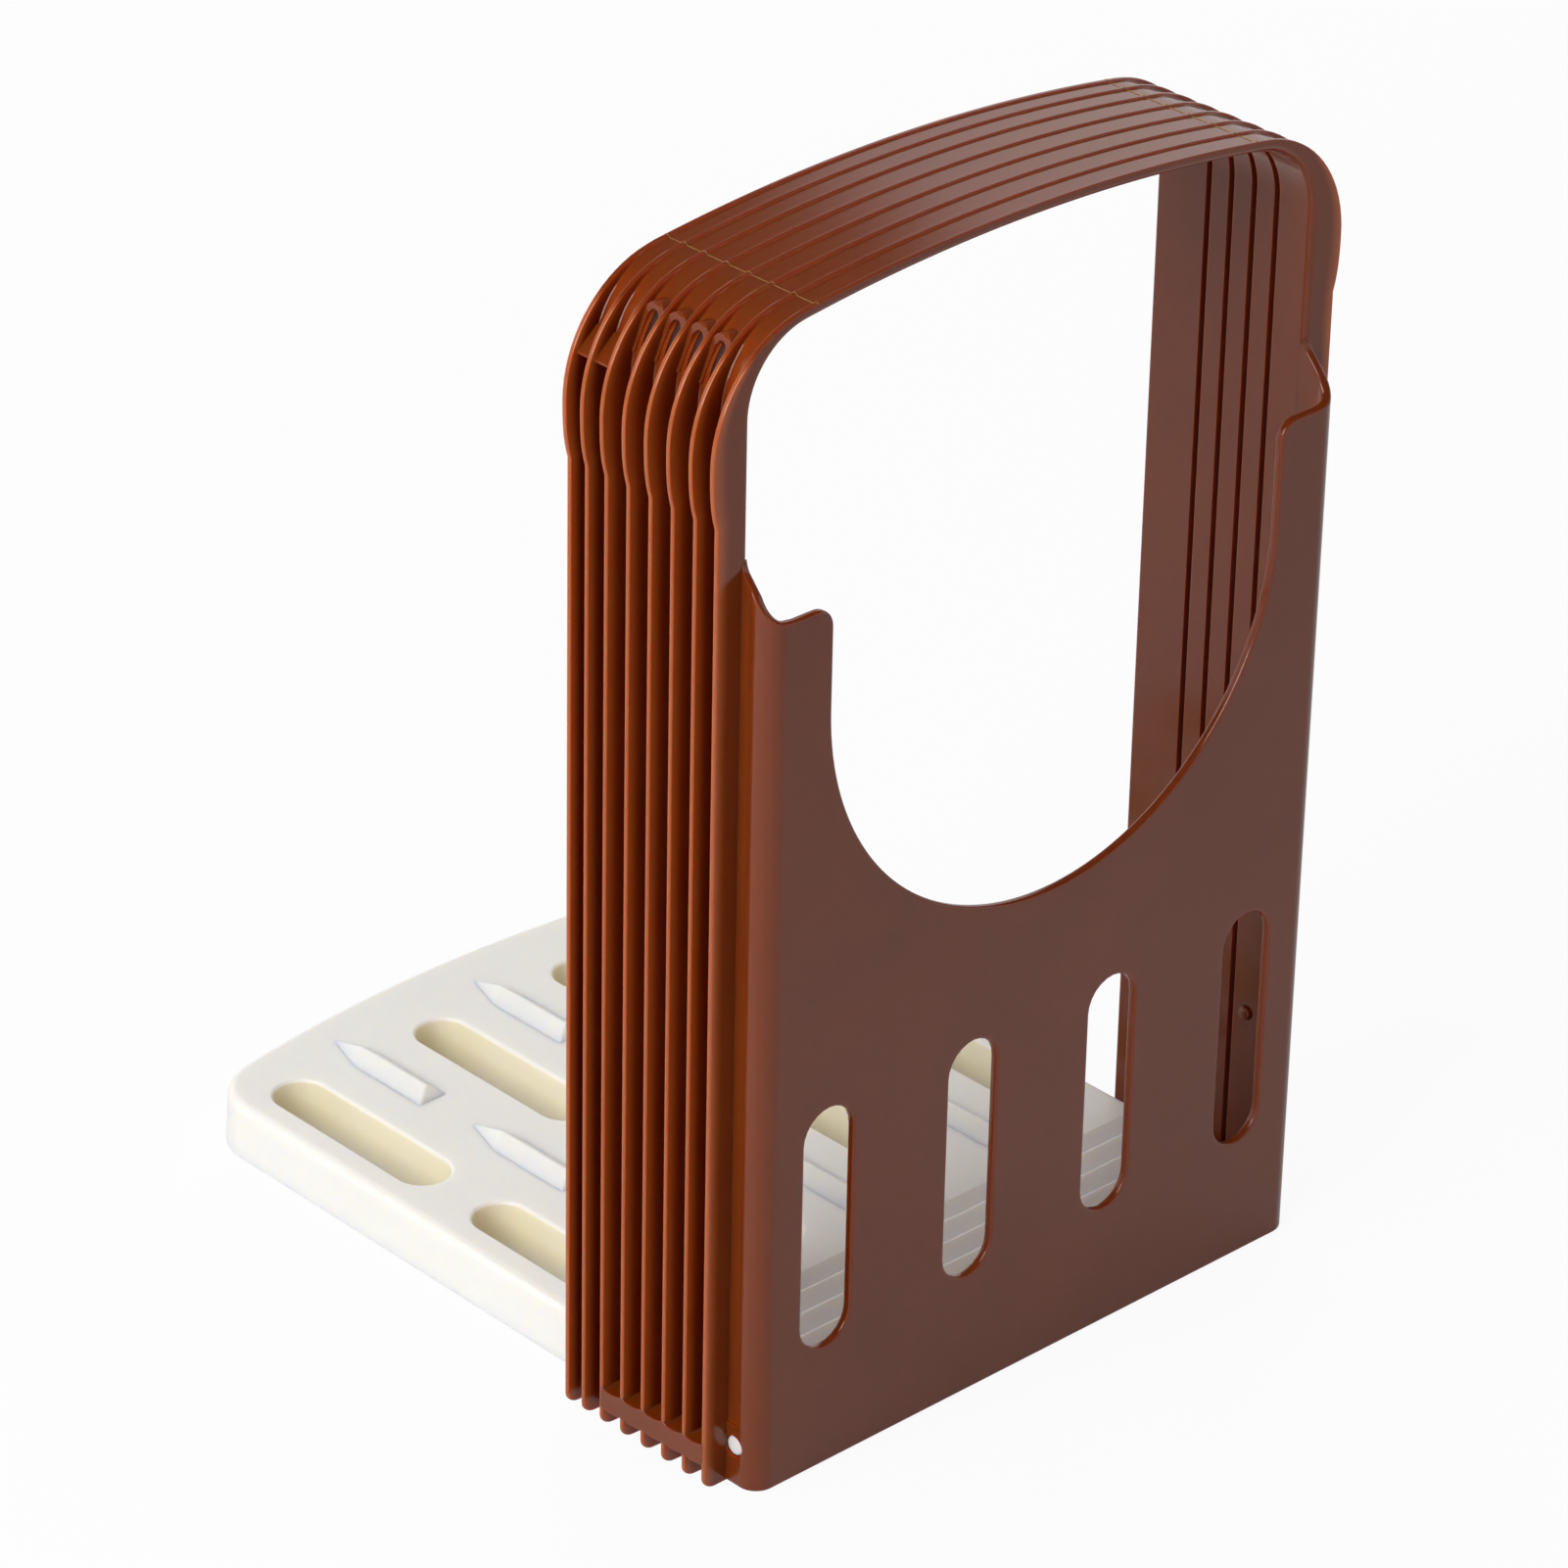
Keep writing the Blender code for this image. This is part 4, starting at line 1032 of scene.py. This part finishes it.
# %% Sizes of the tray
TRAY_HALF, TRAY_REACH, TRAY_TOP = 0.0682, 0.1763, 0.0120
TRAY_CORNER, TRAY_END, TRAY_EDGE, TRAY_DRAFT = 0.0135, 0.2950, 0.0020, 0.0005
TRAY_PLATE, TRAY_SKIRT, TRAY_FLOOR_GAP = 0.0024, 0.0020, 0.0003
NOSE_GAP = 0.0004
TRAY_SLOT_PITCH, TRAY_SLOT_WIDTH, TRAY_SLOT_LENGTH, TRAY_SLOT_WALL = 0.0375, 0.0114, 0.0495, 0.0016
TRAY_SLOT_ENDS = (0.1590, 0.0970)
SLOT_RIM, CUTTER_PAST = 0.0008, 0.05
GROOVE_DEPTH, GROOVE_STEEP, GROOVE_LONG, GROOVE_DROP = 0.0012, 0.0014, 0.0037, 0.00015
GROOVE_SOFT = 0.0003
print("tray", round(2000 * TRAY_HALF, 1), "mm wide, its top at", TRAY_TOP)


# %% Tray body
def tray_outline(growth, near, corner_steps=18, end_steps=16):
    """Plan of the tray, grown all round except at its near end."""
    half = shoulder(TRAY_HALF + growth, TRAY_CORNER + growth, FRONT + TRAY_REACH + growth,
                    TRAY_END + growth, corner_steps, end_steps)
    half = [(TRAY_HALF + growth, near)] + half
    return half + [(-u, v) for u, v in reversed(half) if u > WELD]


def rim_cutter(outline_at, top, rim, foot):
    """Cutter that flares out by a quarter round at the top; outline_at gives its outline grown."""
    rings = [(outline_at(0), foot), (outline_at(0), top - rim)]
    for a in (15, 30, 45, 60, 75):
        turn = math.radians(a)
        rings.append((outline_at(rim * (1 - math.cos(turn))), top - rim + rim * math.sin(turn)))
    past = 1 + CUTTER_PAST
    rings.append((outline_at(rim * past), top + rim * CUTTER_PAST))
    rings.append((outline_at(rim * past), top + OVERCUT))
    return loft(rings, "Z")


def nose_cutter():
    """What the nose leaves free, so that the tray turns clear of the panel and the table."""
    reach = PIVOT_Y - FRONT - PANEL_THICK - NOSE_GAP
    foot = PIVOT_Z - NOSE_GAP
    top_angle = 180 - math.degrees(math.asin((TRAY_TOP - PIVOT_Z) / reach))
    nose = arc((PIVOT_Y, PIVOT_Z), reach, top_angle, 180, 12)
    foot_angle = 180 + math.degrees(math.acos(reach / foot))
    sole = arc((PIVOT_Y, PIVOT_Z), foot, foot_angle, 270, 12)
    outline = nose + sole + [(PIVOT_Y, -OVERCUT), (FRONT - OVERCUT, -OVERCUT),
                             (FRONT - OVERCUT, TRAY_TOP + OVERCUT), (nose[0][0], TRAY_TOP + OVERCUT)]
    return solid(outline, -OUTER_HALF, OUTER_HALF, "X")


def groove_cutter():
    """Knife grooves under the slots: a steep wall, then a long one, with soft crests."""
    bottom = TRAY_TOP - GROOVE_DEPTH + GROOVE_SOFT
    crest = TRAY_TOP - GROOVE_DROP - GROOVE_SOFT
    outline = [(KNIFE_PLANES[0] - 2 * GROOVE_STEEP, TRAY_TOP + GROOVE_DEPTH)]
    for knife in KNIFE_PLANES:
        if knife != KNIFE_PLANES[0]:
            outline += arc((knife - GROOVE_STEEP, crest), GROOVE_SOFT, 108, 40, 5)
        outline += arc((knife + GROOVE_SOFT / 4, bottom), GROOVE_SOFT, 220, 288, 5)
    outline.append((KNIFE_PLANES[-1] + 2 * GROOVE_LONG, TRAY_TOP + GROOVE_DEPTH))
    return solid(outline, -OUTER_HALF, OUTER_HALF, "X")


def tray_slot(centre, end, growth):
    """Plan of one slot of the tray, placed by its far end and grown all round."""
    return obround(centre, TRAY_SLOT_WIDTH + 2 * growth, end - TRAY_SLOT_LENGTH - growth, end + growth, 24)


def bread_tray():
    near = FRONT + PANEL_THICK
    rings = [(tray_outline(TRAY_DRAFT, near), 0)]
    for u, v in arc((-TRAY_EDGE, TRAY_TOP - TRAY_EDGE), TRAY_EDGE, 0, 90, 8):
        rings.append((tray_outline(u, near), v))
    hollow = tray_outline(-TRAY_SKIRT, near + NOSE_GAP + TRAY_SKIRT)
    steps = [("DIFFERENCE", solid(hollow, -OVERCUT, TRAY_TOP - TRAY_PLATE, "Z"))]
    slots = [((column - 1.5) * TRAY_SLOT_PITCH, FRONT + end)
             for end in TRAY_SLOT_ENDS for column in range(4)]
    for centre, end in slots:
        wall = tray_slot(centre, end, TRAY_SLOT_WALL)
        steps.append(("UNION", solid(wall, TRAY_FLOOR_GAP, TRAY_TOP - TRAY_PLATE / 2, "Z")))
    for centre, end in slots:
        cutter = rim_cutter(partial(tray_slot, centre, end), TRAY_TOP, SLOT_RIM, -OVERCUT)
        steps.append(("DIFFERENCE", cutter))
    steps += [("DIFFERENCE", nose_cutter()), ("DIFFERENCE", groove_cutter())]
    return object_from("tray_plate", boolean(loft(rings, "Z"), steps), ivory, "tray")


tray = bread_tray()
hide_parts("bread_tray")

# %% [markdown]
# A barb is a pointed ridge that bites into the crust. Seen from above it is a long arrow;
# seen along the tray it is a low gable with a soft crest. The two pins are turned shapes on
# the pivot's line, each with a collar that keeps the tray in the middle.

# %% Barbs and pins
BARB_TIPS = (0.1660, 0.1224, 0.0788)
BARB_LENGTH, BARB_WIDTH, BARB_HEIGHT = 0.0318, 0.0071, 0.0026
BARB_POINT, BARB_CREST_POINT, BARB_HEEL, BARB_SOFT = 0.0110, 0.0095, 0.0022, 0.00045
BARB_TURN = math.radians(12)
PIN_RADIUS, PIN_RECESS, PIN_ROUND, PIN_STEPS = 0.0020, 0.0003, 0.0004, 64
COLLAR_RADIUS, COLLAR_GAP, COLLAR_CHAMFER = 0.0031, 0.0009, 0.0003


def barb(number, centre, tip):
    """Hull of a five-sided foot and a crest; the foot is carried on a little into the tray."""
    half = BARB_WIDTH / 2
    heel = tip - BARB_LENGTH
    low_end = Vector((centre, heel + BARB_HEEL, TRAY_TOP + BARB_HEIGHT))
    high_end = Vector((centre, tip - BARB_CREST_POINT, TRAY_TOP + BARB_HEIGHT))
    outline = [(-half, heel, low_end), (half, heel, low_end), (half, tip - BARB_POINT, high_end),
               (0, tip, high_end), (-half, tip - BARB_POINT, high_end)]
    shape = bmesh.new()
    for u, v, crest in outline:
        foot = Vector((centre + u, v, TRAY_TOP))
        shape.verts.new(crest + (foot - crest) * (1 + SEAT / BARB_HEIGHT))
    shape.verts.new(low_end)
    shape.verts.new(high_end)
    result = bmesh.ops.convex_hull(shape, input=shape.verts)
    inside = [part for part in result["geom_interior"] if isinstance(part, bmesh.types.BMVert)]
    bmesh.ops.delete(shape, geom=inside, context="VERTS")
    shape = round_edges(shape, BARB_SOFT, angle=BARB_TURN, segments=4)
    return object_from(f"barb_{number}", shape, ivory, "tray")


def pivot_pin(side, word):
    """Turned shape on the pivot's line: collar with a chamfer, then the pin with a round end."""
    end = OUTER_HALF - PIN_RECESS
    collar = TUNNEL_HALF - COLLAR_GAP
    profile = [(TRAY_HALF - TRAY_SKIRT / 2, COLLAR_RADIUS), (collar - COLLAR_CHAMFER, COLLAR_RADIUS),
               (collar, COLLAR_RADIUS - COLLAR_CHAMFER), (collar, PIN_RADIUS)]
    profile += [(end - PIN_ROUND * (1 - math.sin(math.radians(a))),
                 PIN_RADIUS - PIN_ROUND * (1 - math.cos(math.radians(a)))) for a in QUARTER]
    rings = []
    for along, radius in profile:
        turns = [math.tau * i / PIN_STEPS for i in range(PIN_STEPS)]
        rings.append(([(PIVOT_Y + radius * math.cos(t), PIVOT_Z + radius * math.sin(t)) for t in turns],
                      side * along))
    return object_from(f"pivot_pin_{word}", loft(rings, "X"), ivory, "tray")


pieces = []
for row, tip in enumerate(BARB_TIPS):
    for column in range(3):
        pieces.append(barb(3 * row + column + 1, (column - 1) * TRAY_SLOT_PITCH, FRONT + tip))
pieces += [pivot_pin(side, word) for side, word in SIDES]
